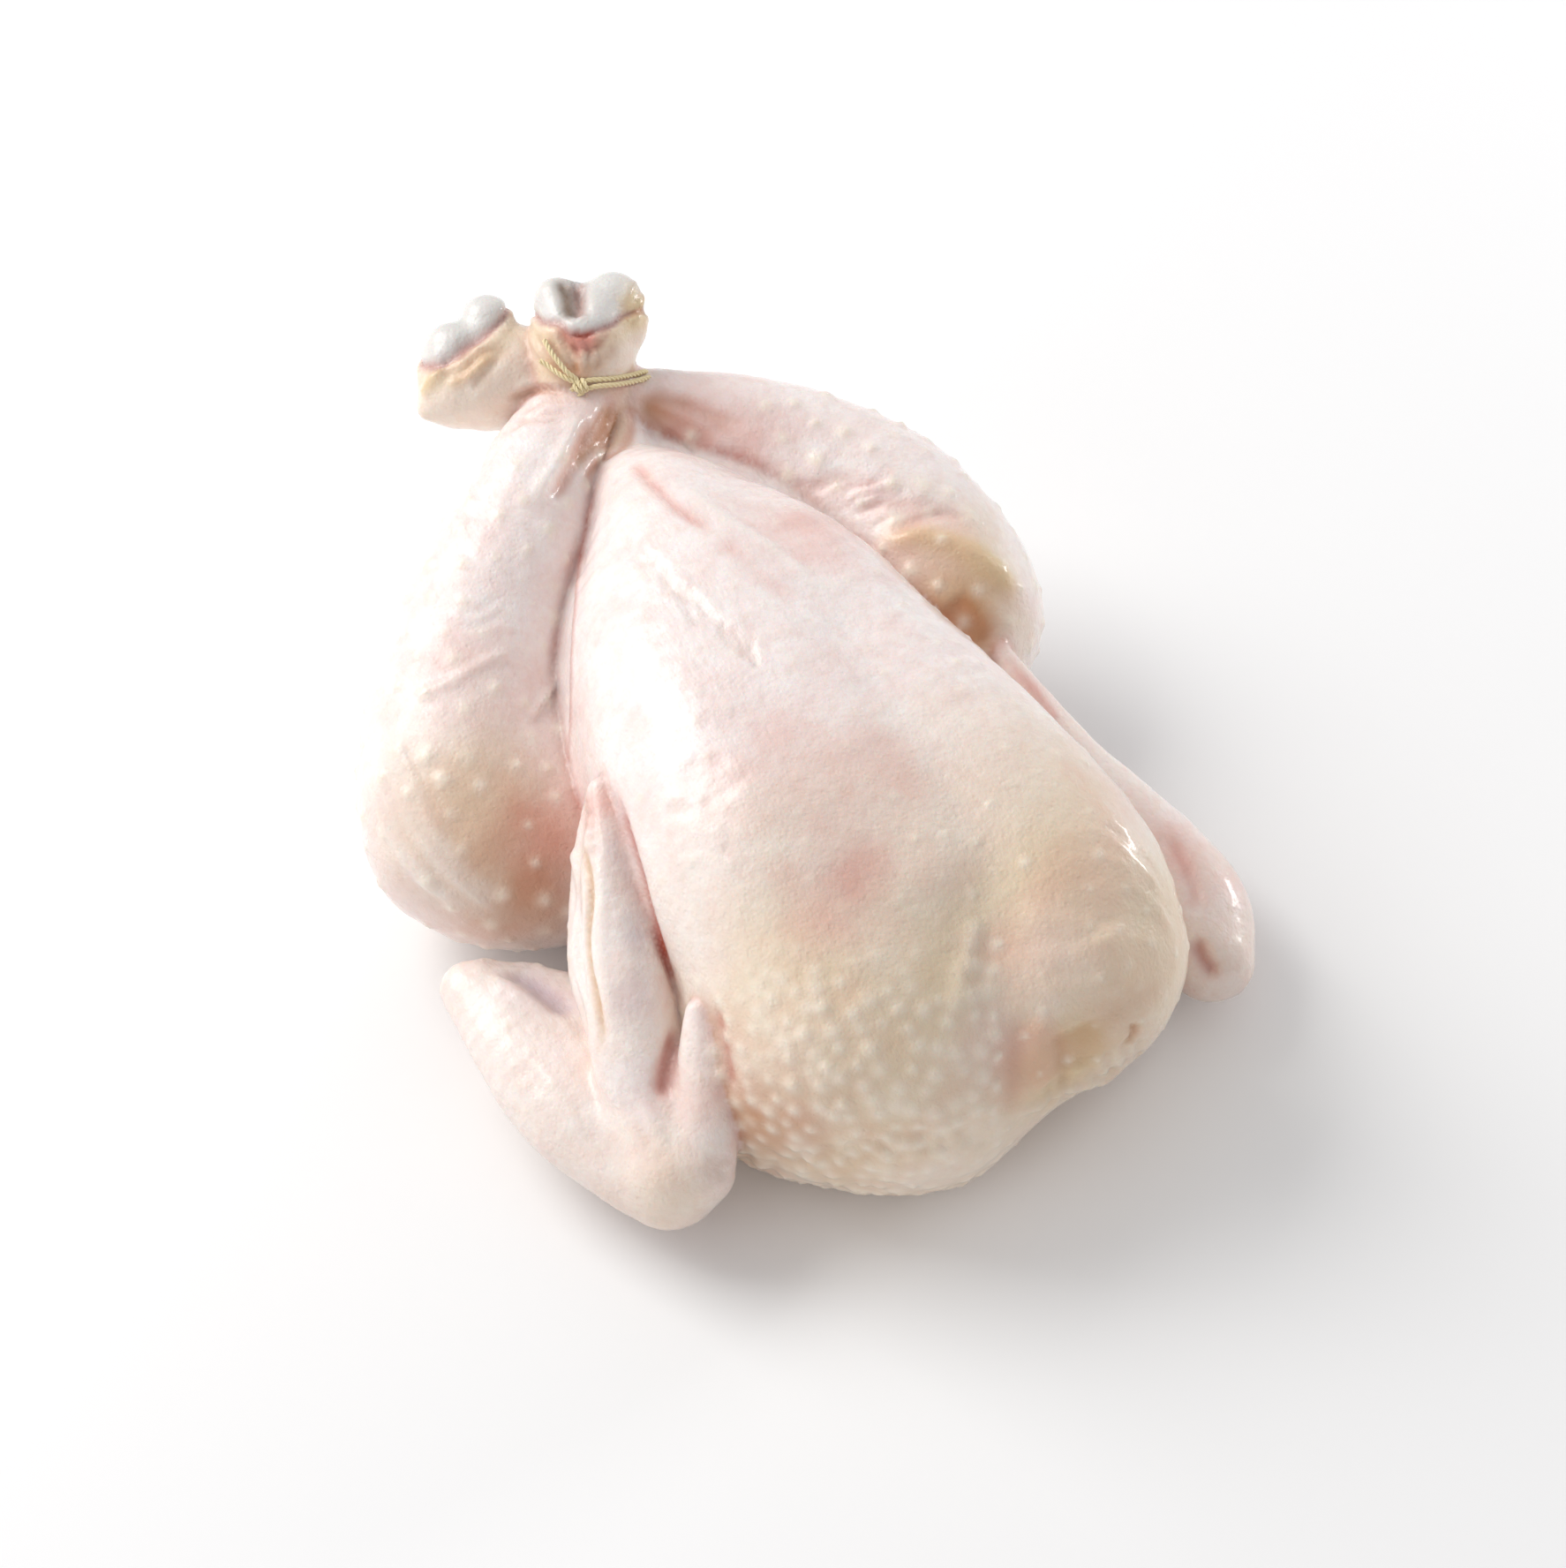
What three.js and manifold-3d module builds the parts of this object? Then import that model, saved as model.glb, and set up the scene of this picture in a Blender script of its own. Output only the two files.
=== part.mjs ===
// A whole raw chicken lying on its back, with its wings folded and its ankles tied with twine.
// Millimetres, +Z up. +Y runs from the neck end to the tail, and +X is the bird's right-hand side
// as seen in front of the neck end. The bird rests on a small flat spot of its back at z = 0.
//
// The flesh is one implicit solid: chains of balls for the limbs and egg shapes for the trunk, each
// joined to the rest with a rounded crease. The surface is meshed on a fine grid, and then thinned
// by edge collapse, which keeps the small forms and spends few triangles on the smooth breast.
import * as THREE from "three";
import { mergeVertices } from "three/addons/utils/BufferGeometryUtils.js";
import Module from "manifold-3d";

const wasm = await Module();
wasm.setup();

// Mesh fineness
const GRID_STEP = 2.5;
const BLOCK = 4;
const CURVE_STEPS = 5;
const SKIN_TRIANGLES = 10500;
const REST_SNAP = 0.1;
const FLAT_WEIGHT = 0.002;
const SLOPE_STEP = 0.4;
const SETTLE_ROUNDS = 2;
const LONGEST_MOVE = 1;
const MERGE_GAP = 1e-4;
const NOTHING = 1e-9;
// How much a face may turn as an edge is collapsed, as the cosine of the angle, how far the new point
// may lie from the edge in edge lengths, and how small a determinant means that it isn't settled
const TURN_LIMIT = 0.3;
const SPOT_REACH = 2;
const UNSETTLED = 1e-4;

// The trunk: the ribs and back as an egg, and a rounded crease where two forms meet
const TRUNK = { centre: [0, 0, 38], half: [56, 92, 40] };
const TAIL = { centre: [0, 117, 25], half: [15, 14, 9] };
const CREASE = {
  lobes: 17, keel: 15, belly: 14, breast: 12, neck: 10, vent: 10, skin: 8, flap: 5, hand: 4, leg: 3, wing: 3,
  joint: 2.5,
};

// Limbs and lobes as chains of balls: x, y, z of the centre, and the radius
const RIGHT_LOBE = [[8, 65, 66, 14], [11, 33, 66, 24], [17, -2, 63, 27], [22, -36, 59, 30],
  [28, -66, 53, 30], [26, -79, 45, 31]];
const LEFT_LOBE = [[-7, 68, 66, 12], [-17, 36, 66, 24], [-23, 2, 64, 30], [-26, -30, 60, 32],
  [-25, -52, 53, 32], [-22, -68, 44, 33]];
const NECK = [[-24, -70, 40, 34], [-14, -78, 34, 35]];
const SHOULDER = [[34, -46, 26, 22], [36, -66, 24, 24.5]];
const KEEL = [[-5, 82, 70, 8], [-6, 62, 76, 11], [-7, 36, 79, 12], [-6, 5, 80, 12],
  [-5, -30, 77, 12], [-2, -60, 68, 12]];
const BELLY = [[0, 40, 34, 34], [0, 80, 30, 24], [0, 104, 26, 14]];
const VENT_SKIN = [[2, 101, 70, 7], [0, 96, 61, 11], [-1, 91, 50, 16]];
const GROIN = [[11, 88, 60, 10], [26, 70, 54, 13], [38, 46, 44, 14]];

const LEFT_LEG = [[-4, 107, 80, 8.5], [-19, 97, 75, 13], [-35, 83, 67, 18], [-52, 68, 57, 21],
  [-65, 52, 47, 24], [-74, 37, 40, 25], [-77, 26, 34, 23]];
const LEFT_THIGH = [[-77, 26, 34, 22], [-68, 13, 30, 20], [-47, 10, 28, 21]];
const LEFT_HIP = [[-66, 24, 30, 22], [-38, 34, 26, 25]];
const RIGHT_LEG = [[6, 104, 74, 9], [19, 98, 69, 11], [33, 89, 63, 15], [46, 76, 56, 19],
  [56, 59, 50, 22], [60, 43, 44, 22.5], [60, 31, 38, 20.5]];
const RIGHT_THIGH = [[60, 31, 38, 20], [50, 25, 31, 21], [35, 26, 29, 23]];
const RIGHT_HIP = [[52, 32, 30, 22], [34, 36, 26, 25]];

// Hock ends: a skin sleeve round the joint, and the two rounded ends of the bone that stand out of it
const FRONT_SLEEVE = [[-4, 107, 80, 8], [-4, 109, 82.5, 10], [-3, 113, 87, 13.3], [-1, 116, 89, 13.5]];
const FRONT_CONDYLES = [[[-4, 120, 92, 6.5], [-4, 124.5, 96.5, 5.5]],
  [[8, 115, 91, 7.5], [9, 119, 95.5, 6.8]]];
const BACK_SLEEVE = [[4, 106, 76, 7.5], [-7, 115, 79, 8], [-22, 124, 79, 14], [-30, 126, 79, 12]];
const BACK_CONDYLES = [[[-21, 131, 87, 7], [-20, 133, 89, 6.5]], [[-31, 127, 84, 8], [-31, 130, 86, 7]]];
const BACK_FLAP = [[-32, 122, 80, 9], [-42, 121, 79, 3]];
const TIE_COLLAR = [[-5, 107, 79, 10], [-12, 114, 74, 10], [-16, 119, 69, 7]];

// Wings: the flat from elbow to wrist, the web of skin behind it, the hand, its skin edge, the thumb
// and the upper bone from the shoulder to the elbow
const LEFT_FLAT = [[-96, -11, 27, 5], [-92, -26, 25, 10], [-87, -48, 22, 13], [-80, -66, 20, 13],
  [-74, -78, 19, 12]];
const LEFT_WEB = [[-92, -11, 24, 4], [-82, -18, 22, 8], [-76, -31, 20, 11], [-72, -52, 20, 12]];
const LEFT_HAND = [[-73, -78, 24, 11.5], [-71, -64, 31, 11.3], [-70, -53, 40, 10.6], [-66, -41, 50, 9.6],
  [-62, -26, 60, 7.6], [-58, -15, 66, 5.5], [-55, -5, 71, 3.2]];
const LEFT_EDGE = [[-72, -45, 37, 6], [-71, -33, 44, 6], [-66, -20, 53, 4.5], [-61, -10, 61, 3],
  [-57, -4, 67, 1.8]];
const LEFT_THUMB = [[-69, -82, 25, 9], [-64, -76, 34, 8], [-60, -69, 42.5, 7], [-58, -65, 49.5, 5.6],
  [-58, -62, 54.5, 3]];
const LEFT_UPPER = [[-42, -60, 22, 15], [-62, -44, 20, 13], [-80, -27, 20, 10], [-92, -13, 23, 6]];
const RIGHT_FLAT = [[67, -8, 15, 5], [71, -24, 15, 8], [76, -46, 16, 12], [76, -66, 16, 12.5],
  [71, -80, 16, 10.5]];
const RIGHT_HAND = [[71, -78, 17, 9], [75, -62, 20, 10], [73, -41, 25, 8.5], [67, -22, 31, 6.5],
  [63, -5, 39, 4.7], [61, 8, 46, 2.5]];
const RIGHT_UPPER = [[44, -60, 22, 15], [58, -42, 18, 13], [65, -24, 16, 10], [67, -9, 15, 6]];
const FLAT_PRESS = { along: [-0.2, -0.1, 1], by: 1.3 };
const WEB_PRESS = { along: [-0.2, -0.1, 1], by: 1.8 };

// Twine: two turns round both ankles, a knot in front of the left one, and two short ends
const TWINE_RADIUS = 0.7;
const TWINE_LIFT = 0.2;
const GROOVE_GAP = 0.45;
const TIE = { centre: [-1, 104.5, 78.5], normal: [-0.12, 0.83, 0.54], reach: 13.5, least: 4, step: 0.2 };
const TURN_SPREAD = 1.8;
const LOOP_POINTS = 36;
const TWINE_SIDES = 6;
const PULL_ROUNDS = 200;
const LAY_ROUNDS = 8;
const KNOT_RADIUS = 1.9;
const KNOT_SIDES = 12;
const KNOT_ROWS = 8;
const KNOT_DIRECTION = [-0.74, -0.23, 0.65];
const ENDS = [{ along: [-0.3, 0.82, 0.5], length: 12 }, { along: [-0.63, 0.72, 0.29], length: 9 }];
const END_SPANS = 4;
const END_STEPS = 10;

// The limbs are laid out about a point under the breast; this moves the bird so that the origin is
// the middle of its whole outline, on the ground
const TO_ORIGIN = [6.6, -13.2, 0];

const SKIN_COLOUR = 0xe8d2c4;
const TWINE_COLOUR = 0xc9b27a;
const SKIN_ROUGHNESS = 0.35;
const TWINE_ROUGHNESS = 0.85;

const vector = (a) => new THREE.Vector3(a[0], a[1], a[2]);

// A rounded union: below the crease width k the two surfaces melt into each other
function join(a, b, k) {
  const h = Math.min(Math.max(0.5 + (0.5 * (b - a)) / k, 0), 1);
  return b + (a - b) * h - k * h * (1 - h);
}

function egg({ centre, half }) {
  return (x, y, z) => {
    const q = [x - centre[0], y - centre[1], z - centre[2]];
    const near = Math.hypot(q[0] / half[0], q[1] / half[1], q[2] / half[2]);
    const slope = Math.hypot(q[0] / half[0] ** 2, q[1] / half[1] ** 2, q[2] / half[2] ** 2);
    return slope > NOTHING ? (near * (near - 1)) / slope : -Math.min(...half);
  };
}

// Catmull-Rom curve through the balls, so that a limb swells and bends smoothly
function smoothChain(balls) {
  const first = balls[0].map((v, i) => 2 * v - balls[1][i]);
  const last = balls.at(-1).map((v, i) => 2 * v - balls.at(-2)[i]);
  const all = [first, ...balls, last];
  const chain = [];
  for (let s = 0; s + 3 < all.length; s++) {
    const [a, b, c, d] = all.slice(s, s + 4);
    for (let k = 0; k < CURVE_STEPS; k++) {
      const t = k / CURVE_STEPS;
      chain.push(b.map((_, i) => 0.5 * (2 * b[i] + (c[i] - a[i]) * t
        + (2 * a[i] - 5 * b[i] + 4 * c[i] - d[i]) * t * t
        + (3 * b[i] - a[i] - 3 * c[i] + d[i]) * t * t * t)));
    }
  }
  chain.push(balls.at(-1));
  return chain;
}

// Distance to a chain of balls joined by cones; press flattens the chain along one direction
function limb(balls, press) {
  const chain = smoothChain(balls).map((ball) => [...ball]);
  const origin = vector(chain[0]);
  const along = press ? vector(press.along).normalize() : new THREE.Vector3();
  const extra = press ? press.by - 1 : 0;
  const flatten = (p) => p.addScaledVector(along, extra * p.clone().sub(origin).dot(along));
  const centres = chain.map((ball) => flatten(vector(ball)));
  const spans = centres.slice(1).map((b, i) => {
    const a = centres[i];
    const ab = b.clone().sub(a);
    return [a.x, a.y, a.z, ab.x, ab.y, ab.z, 1 / ab.lengthSq(), chain[i][3], chain[i + 1][3] - chain[i][3]];
  });
  return (x, y, z) => {
    const lean = extra * ((x - origin.x) * along.x + (y - origin.y) * along.y + (z - origin.z) * along.z);
    const px = x + lean * along.x;
    const py = y + lean * along.y;
    const pz = z + lean * along.z;
    let nearest = Infinity;
    for (const [ax, ay, az, bx, by, bz, inverse, radius, growth] of spans) {
      const qx = px - ax;
      const qy = py - ay;
      const qz = pz - az;
      const t = Math.min(Math.max((qx * bx + qy * by + qz * bz) * inverse, 0), 1);
      const away = Math.hypot(qx - t * bx, qy - t * by, qz - t * bz) - radius - growth * t;
      if (away < nearest) nearest = away;
    }
    return nearest;
  };
}

const mirrored = (balls) => balls.map(([x, ...rest]) => [-x, ...rest]);

// Joins forms one after another, each with its own crease width
function united(first, ...rest) {
  return (x, y, z) => rest.reduce((d, [form, k]) => join(d, form(x, y, z), k), first(x, y, z));
}

function breast() {
  const left = united(limb(LEFT_LOBE), [limb(NECK), CREASE.neck], [limb(mirrored(SHOULDER)), CREASE.belly]);
  const right = united(limb(RIGHT_LOBE), [limb(SHOULDER), CREASE.belly]);
  return united(right, [left, CREASE.lobes], [limb(KEEL), CREASE.keel]);
}

function leg(shin, thigh, hip) {
  return united(limb(shin), [limb(thigh), CREASE.breast], [limb(hip), CREASE.breast]);
}

function hock(sleeve, condyles, ...skin) {
  const ends = united(limb(condyles[0]), [limb(condyles[1]), CREASE.joint]);
  return united(limb(sleeve), [ends, CREASE.joint], ...skin.map((balls) => [limb(balls), CREASE.flap]));
}

function leftWing() {
  return united(limb(LEFT_FLAT, FLAT_PRESS), [limb(LEFT_WEB, WEB_PRESS), CREASE.skin],
    [limb(LEFT_UPPER), CREASE.skin], [limb(LEFT_HAND), CREASE.hand], [limb(LEFT_EDGE), CREASE.hand],
    [limb(LEFT_THUMB), CREASE.wing]);
}

function rightWing() {
  return united(limb(RIGHT_FLAT), [limb(RIGHT_UPPER), CREASE.skin], [limb(RIGHT_HAND), CREASE.hand]);
}

const flesh = united(
  egg(TRUNK), [breast(), CREASE.breast], [limb(BELLY), CREASE.belly], [egg(TAIL), CREASE.skin],
  [limb(VENT_SKIN), CREASE.vent], [limb(GROIN), CREASE.skin], [limb(mirrored(GROIN)), CREASE.skin],
  [leg(LEFT_LEG, LEFT_THIGH, LEFT_HIP), CREASE.leg],
  [leg(RIGHT_LEG, RIGHT_THIGH, RIGHT_HIP), CREASE.leg],
  [hock(FRONT_SLEEVE, FRONT_CONDYLES), CREASE.joint],
  [hock(BACK_SLEEVE, BACK_CONDYLES, BACK_FLAP, TIE_COLLAR), CREASE.joint],
  [leftWing(), CREASE.wing], [rightWing(), CREASE.wing],
);

// Box that holds the whole bird with room to spare, on the grid
const GRID_LOW = [-120, -125, -12];
const GRID_HIGH = [105, 155, 120];
const ROOM = 400;

function slope(form, p) {
  const d = [0, 1, 2].map((i) => {
    const up = [...p];
    const down = [...p];
    up[i] += SLOPE_STEP;
    down[i] -= SLOPE_STEP;
    return form(...up) - form(...down);
  });
  const size = Math.hypot(...d) || 1;
  return d.map((v) => v / size);
}

// Surface nets: one point in each grid cell that the surface crosses, one quad across each grid
// edge that it cuts
function surfaceNet(form) {
  const count = GRID_LOW.map((low, i) => Math.ceil((GRID_HIGH[i] - low) / GRID_STEP) + 1);
  const at = (i, axis) => GRID_LOW[axis] + i * GRID_STEP;
  const index = (i, j, k) => (k * count[1] + j) * count[0] + i;
  const depth = new Float64Array(count[0] * count[1] * count[2]);
  // Far from the surface one value does for a whole block of grid points
  const half = (BLOCK - 1) / 2;
  const far = 2 * half * GRID_STEP * Math.sqrt(3);
  const blocks = count.map((n) => Math.ceil(n / BLOCK));
  for (let b = 0; b < blocks[0] * blocks[1] * blocks[2]; b++) {
    const start = [b % blocks[0], Math.floor(b / blocks[0]) % blocks[1], Math.floor(b / blocks[0] / blocks[1])]
      .map((n) => n * BLOCK);
    const middle = form(...start.map((n, axis) => at(n + half, axis)));
    const end = start.map((n, axis) => Math.min(n + BLOCK, count[axis]));
    for (let k = start[2]; k < end[2]; k++) {
      for (let j = start[1]; j < end[1]; j++) {
        for (let i = start[0]; i < end[0]; i++) {
          depth[index(i, j, k)] = Math.abs(middle) > far ? middle : form(at(i, 0), at(j, 1), at(k, 2));
        }
      }
    }
  }
  const corners = [0, 1, 2, 3, 4, 5, 6, 7].map((c) => [c & 1, (c >> 1) & 1, c >> 2]);
  const edges = [];
  corners.forEach((a, i) => corners.forEach((b, j) => {
    if (j > i && a.reduce((n, v, axis) => n + (v !== b[axis]), 0) === 1) edges.push([a, b]);
  }));
  const cell = new Map();
  const points = [];
  for (let k = 0; k + 1 < count[2]; k++) {
    for (let j = 0; j + 1 < count[1]; j++) {
      for (let i = 0; i + 1 < count[0]; i++) {
        const sum = [0, 0, 0];
        let cuts = 0;
        for (const [a, b] of edges) {
          const da = depth[index(i + a[0], j + a[1], k + a[2])];
          const db = depth[index(i + b[0], j + b[1], k + b[2])];
          if (da < 0 === db < 0) continue;
          const t = da / (da - db);
          for (let axis = 0; axis < 3; axis++) sum[axis] += a[axis] + t * (b[axis] - a[axis]);
          cuts++;
        }
        if (!cuts) continue;
        cell.set(index(i, j, k), points.length);
        points.push([i, j, k].map((v, axis) => at(v + sum[axis] / cuts, axis)));
      }
    }
  }
  const quads = [];
  const unit = [[1, 0, 0], [0, 1, 0], [0, 0, 1]];
  for (let k = 1; k + 1 < count[2]; k++) {
    for (let j = 1; j + 1 < count[1]; j++) {
      for (let i = 1; i + 1 < count[0]; i++) {
        const inside = depth[index(i, j, k)] < 0;
        for (let axis = 0; axis < 3; axis++) {
          const [ex, ey, ez] = unit[axis];
          if (inside === depth[index(i + ex, j + ey, k + ez)] < 0) continue;
          const u = unit[(axis + 1) % 3];
          const v = unit[(axis + 2) % 3];
          const ring = [[0, 0], [1, 0], [1, 1], [0, 1]].map(([a, b]) => cell.get(index(
            i - a * u[0] - b * v[0], j - a * u[1] - b * v[1], k - a * u[2] - b * v[2])));
          quads.push(inside ? ring : ring.reverse());
        }
      }
    }
  }
  return { points, quads };
}

// Moves each point along the slope until it lies on the surface itself
function settled(form, points) {
  return points.map((start) => {
    let p = start;
    for (let r = 0; r < SETTLE_ROUNDS; r++) {
      const n = slope(form, p);
      const d = Math.max(Math.min(form(...p), LONGEST_MOVE), -LONGEST_MOVE);
      p = p.map((v, i) => v - n[i] * d);
    }
    return p;
  });
}

const minus = (a, b) => [a[0] - b[0], a[1] - b[1], a[2] - b[2]];
const dot = (a, b) => a[0] * b[0] + a[1] * b[1] + a[2] * b[2];
const cross = (a, b) => [a[1] * b[2] - a[2] * b[1], a[2] * b[0] - a[0] * b[2], a[0] * b[1] - a[1] * b[0]];

// Splits each quad along its shorter diagonal
function triangulated(points, quads) {
  return quads.flatMap(([a, b, c, d]) => {
    const ac = minus(points[a], points[c]);
    const bd = minus(points[b], points[d]);
    return dot(ac, ac) < dot(bd, bd) ? [[a, b, c], [a, c, d]] : [[a, b, d], [b, c, d]];
  });
}

// Sum of squared distances to a set of planes, as the ten numbers of a symmetric 4 x 4 matrix
function planeError(n, offset, weight) {
  const p = [...n, offset];
  const out = [];
  for (let i = 0; i < 4; i++) for (let j = i; j < 4; j++) out.push(weight * p[i] * p[j]);
  return out;
}

function errorAt(q, [x, y, z]) {
  return q[0] * x * x + 2 * q[1] * x * y + 2 * q[2] * x * z + 2 * q[3] * x + q[4] * y * y
    + 2 * q[5] * y * z + 2 * q[6] * y + q[7] * z * z + 2 * q[8] * z + q[9];
}

// Point of least error for an edge, or its middle where the planes don't settle one
function bestPoint(q, a, b) {
  const middle = a.map((v, i) => (v + b[i]) / 2);
  const m = new THREE.Matrix3().set(q[0], q[1], q[2], q[1], q[4], q[5], q[2], q[5], q[7]);
  const size = Math.cbrt(Math.abs(m.determinant()));
  if (size > UNSETTLED * (q[0] + q[4] + q[7])) {
    const p = new THREE.Vector3(-q[3], -q[6], -q[8]).applyMatrix3(m.invert());
    const reach = minus(a, b);
    const move = minus([p.x, p.y, p.z], middle);
    if (dot(move, move) < SPOT_REACH ** 2 * dot(reach, reach)) return [p.x, p.y, p.z];
  }
  return [a, b, middle].reduce((best, p) => (errorAt(q, p) < errorAt(q, best) ? p : best));
}

// A smallest-first queue
class Queue {
  constructor() { this.items = []; }

  push(item) {
    const list = this.items;
    let i = list.push(item) - 1;
    while (i > 0) {
      const up = (i - 1) >> 1;
      if (list[up].cost <= list[i].cost) break;
      [list[up], list[i]] = [list[i], list[up]];
      i = up;
    }
  }

  pop() {
    const list = this.items;
    const top = list[0];
    const end = list.pop();
    if (list.length) {
      list[0] = end;
      let i = 0;
      for (;;) {
        const l = 2 * i + 1;
        const r = l + 1;
        let least = i;
        if (l < list.length && list[l].cost < list[least].cost) least = l;
        if (r < list.length && list[r].cost < list[least].cost) least = r;
        if (least === i) break;
        [list[least], list[i]] = [list[i], list[least]];
        i = least;
      }
    }
    return top;
  }
}

// Collapses the cheapest edges one by one until only the wanted number of triangles is left
function thinned(points, triangles, wanted) {
  const place = points.map((p) => [...p]);
  const faces = triangles.map((t) => [...t]);
  const alive = faces.map(() => true);
  const touching = place.map(() => new Set());
  faces.forEach((t, f) => t.forEach((v) => touching[v].add(f)));
  const error = place.map(() => new Array(10).fill(0));
  const add = (q, r) => r.forEach((v, i) => { q[i] += v; });
  for (const t of faces) {
    const [a, b, c] = t.map((v) => place[v]);
    const n = cross(minus(b, a), minus(c, a));
    const area = Math.hypot(...n) || NOTHING;
    const unit = n.map((v) => v / area);
    t.forEach((v) => {
      add(error[v], planeError(unit, -dot(unit, a), area));
      // A faint pull to stay in place keeps the triangles even on flat skin
      const w = FLAT_WEIGHT * area;
      const [x, y, z] = place[v];
      add(error[v], [w, 0, 0, -w * x, w, 0, -w * y, w, -w * z, w * (x * x + y * y + z * z)]);
    });
  }
  const version = place.map(() => 0);
  const queue = new Queue();
  const offer = (a, b) => {
    const q = error[a].map((v, i) => v + error[b][i]);
    const spot = bestPoint(q, place[a], place[b]);
    queue.push({ cost: errorAt(q, spot), a, b, spot, seen: [version[a], version[b]] });
  };
  const around = (v) => new Set([...touching[v]].flatMap((f) => faces[f]).filter((w) => w !== v));
  place.forEach((_, v) => around(v).forEach((w) => { if (v < w) offer(v, w); }));
  const turns = (v, gone, spot) => [...touching[v]].some((f) => {
    if (faces[f].includes(gone)) return false;
    const before = faces[f].map((w) => place[w]);
    const after = faces[f].map((w) => (w === v ? spot : place[w]));
    const n = cross(minus(before[1], before[0]), minus(before[2], before[0]));
    const m = cross(minus(after[1], after[0]), minus(after[2], after[0]));
    return dot(n, m) < TURN_LIMIT * Math.hypot(...n) * Math.hypot(...m);
  });
  let left = faces.length;
  while (left > wanted && queue.items.length) {
    const { a, b, spot, seen } = queue.pop();
    if (!touching[a].size || !touching[b].size) continue;
    if (seen[0] !== version[a] || seen[1] !== version[b]) continue;
    const near = around(a);
    const shared = [...around(b)].filter((w) => near.has(w));
    if (!near.has(b) || shared.length !== 2 || turns(a, b, spot) || turns(b, a, spot)) continue;
    for (const f of [...touching[b]]) {
      if (faces[f].includes(a)) {
        faces[f].forEach((w) => touching[w].delete(f));
        alive[f] = false;
        left--;
      } else {
        faces[f] = faces[f].map((w) => (w === b ? a : w));
        touching[a].add(f);
      }
    }
    touching[b].clear();
    place[a] = spot;
    add(error[a], error[b]);
    version[a] += 1;
    around(a).forEach((w) => offer(Math.min(a, w), Math.max(a, w)));
  }
  return { points: place, triangles: faces.filter((_, f) => alive[f]) };
}

function geometryOf(points, triangles) {
  const number = new Map();
  const kept = [];
  const index = triangles.flat().map((v) => {
    if (!number.has(v)) {
      number.set(v, kept.length);
      kept.push(points[v]);
    }
    return number.get(v);
  });
  const geometry = new THREE.BufferGeometry();
  geometry.setAttribute("position", new THREE.Float32BufferAttribute(kept.flat(), 3));
  geometry.setIndex(index);
  return geometry;
}

function solidOf(geometry) {
  const bare = geometry.clone();
  bare.deleteAttribute("normal");
  bare.deleteAttribute("uv");
  const merged = mergeVertices(bare, MERGE_GAP);
  return new wasm.Manifold(new wasm.Mesh({
    numProp: 3,
    vertProperties: new Float32Array(merged.attributes.position.array),
    triVerts: new Uint32Array(merged.index.array),
  }));
}

function geometryFrom(solid) {
  const mesh = solid.getMesh();
  const geometry = new THREE.BufferGeometry();
  geometry.setAttribute("position", new THREE.BufferAttribute(new Float32Array(mesh.vertProperties), 3));
  geometry.setIndex(new THREE.BufferAttribute(new Uint32Array(mesh.triVerts), 1));
  return geometry;
}

// Pushes a point of the twine out until it lies on the skin
function onSkin(p) {
  const lift = TWINE_RADIUS + TWINE_LIFT;
  let q = [...p];
  for (let r = 0; r < LAY_ROUNDS; r++) {
    const n = slope(flesh, q);
    const short = lift - flesh(...q);
    if (short > 0) q = q.map((v, i) => v + n[i] * short);
  }
  return q;
}

// One turn round both ankles, in a plane across them: it lies on the skin where the ankles are
// narrow, sinks into the folds where they are wide, and is drawn tight across hollows
function turn(offset) {
  const normal = vector(TIE.normal).normalize();
  const side = new THREE.Vector3(1, 0, 0).projectOnPlane(normal).normalize();
  const up = normal.clone().cross(side);
  const centre = vector(TIE.centre).addScaledVector(normal, offset);
  const angles = Array.from({ length: LOOP_POINTS }, (_, i) => (2 * Math.PI * i) / LOOP_POINTS);
  const at = (angle, radius) => centre.clone()
    .addScaledVector(side, radius * Math.cos(angle)).addScaledVector(up, radius * Math.sin(angle));
  const radii = angles.map((angle) => {
    let radius = TIE.reach;
    while (radius > TIE.least && flesh(...at(angle, radius).toArray()) > TWINE_LIFT) radius -= TIE.step;
    return radius;
  });
  const chord = 1 / Math.cos((2 * Math.PI) / LOOP_POINTS);
  for (let round = 0; round < PULL_ROUNDS; round++) {
    radii.forEach((radius, i) => {
      const before = radii.at(i - 1);
      const after = radii[(i + 1) % LOOP_POINTS];
      radii[i] = Math.max(radius, (2 / (1 / before + 1 / after)) / chord);
    });
  }
  return angles.map((angle, i) => at(angle, radii[i]));
}

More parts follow.
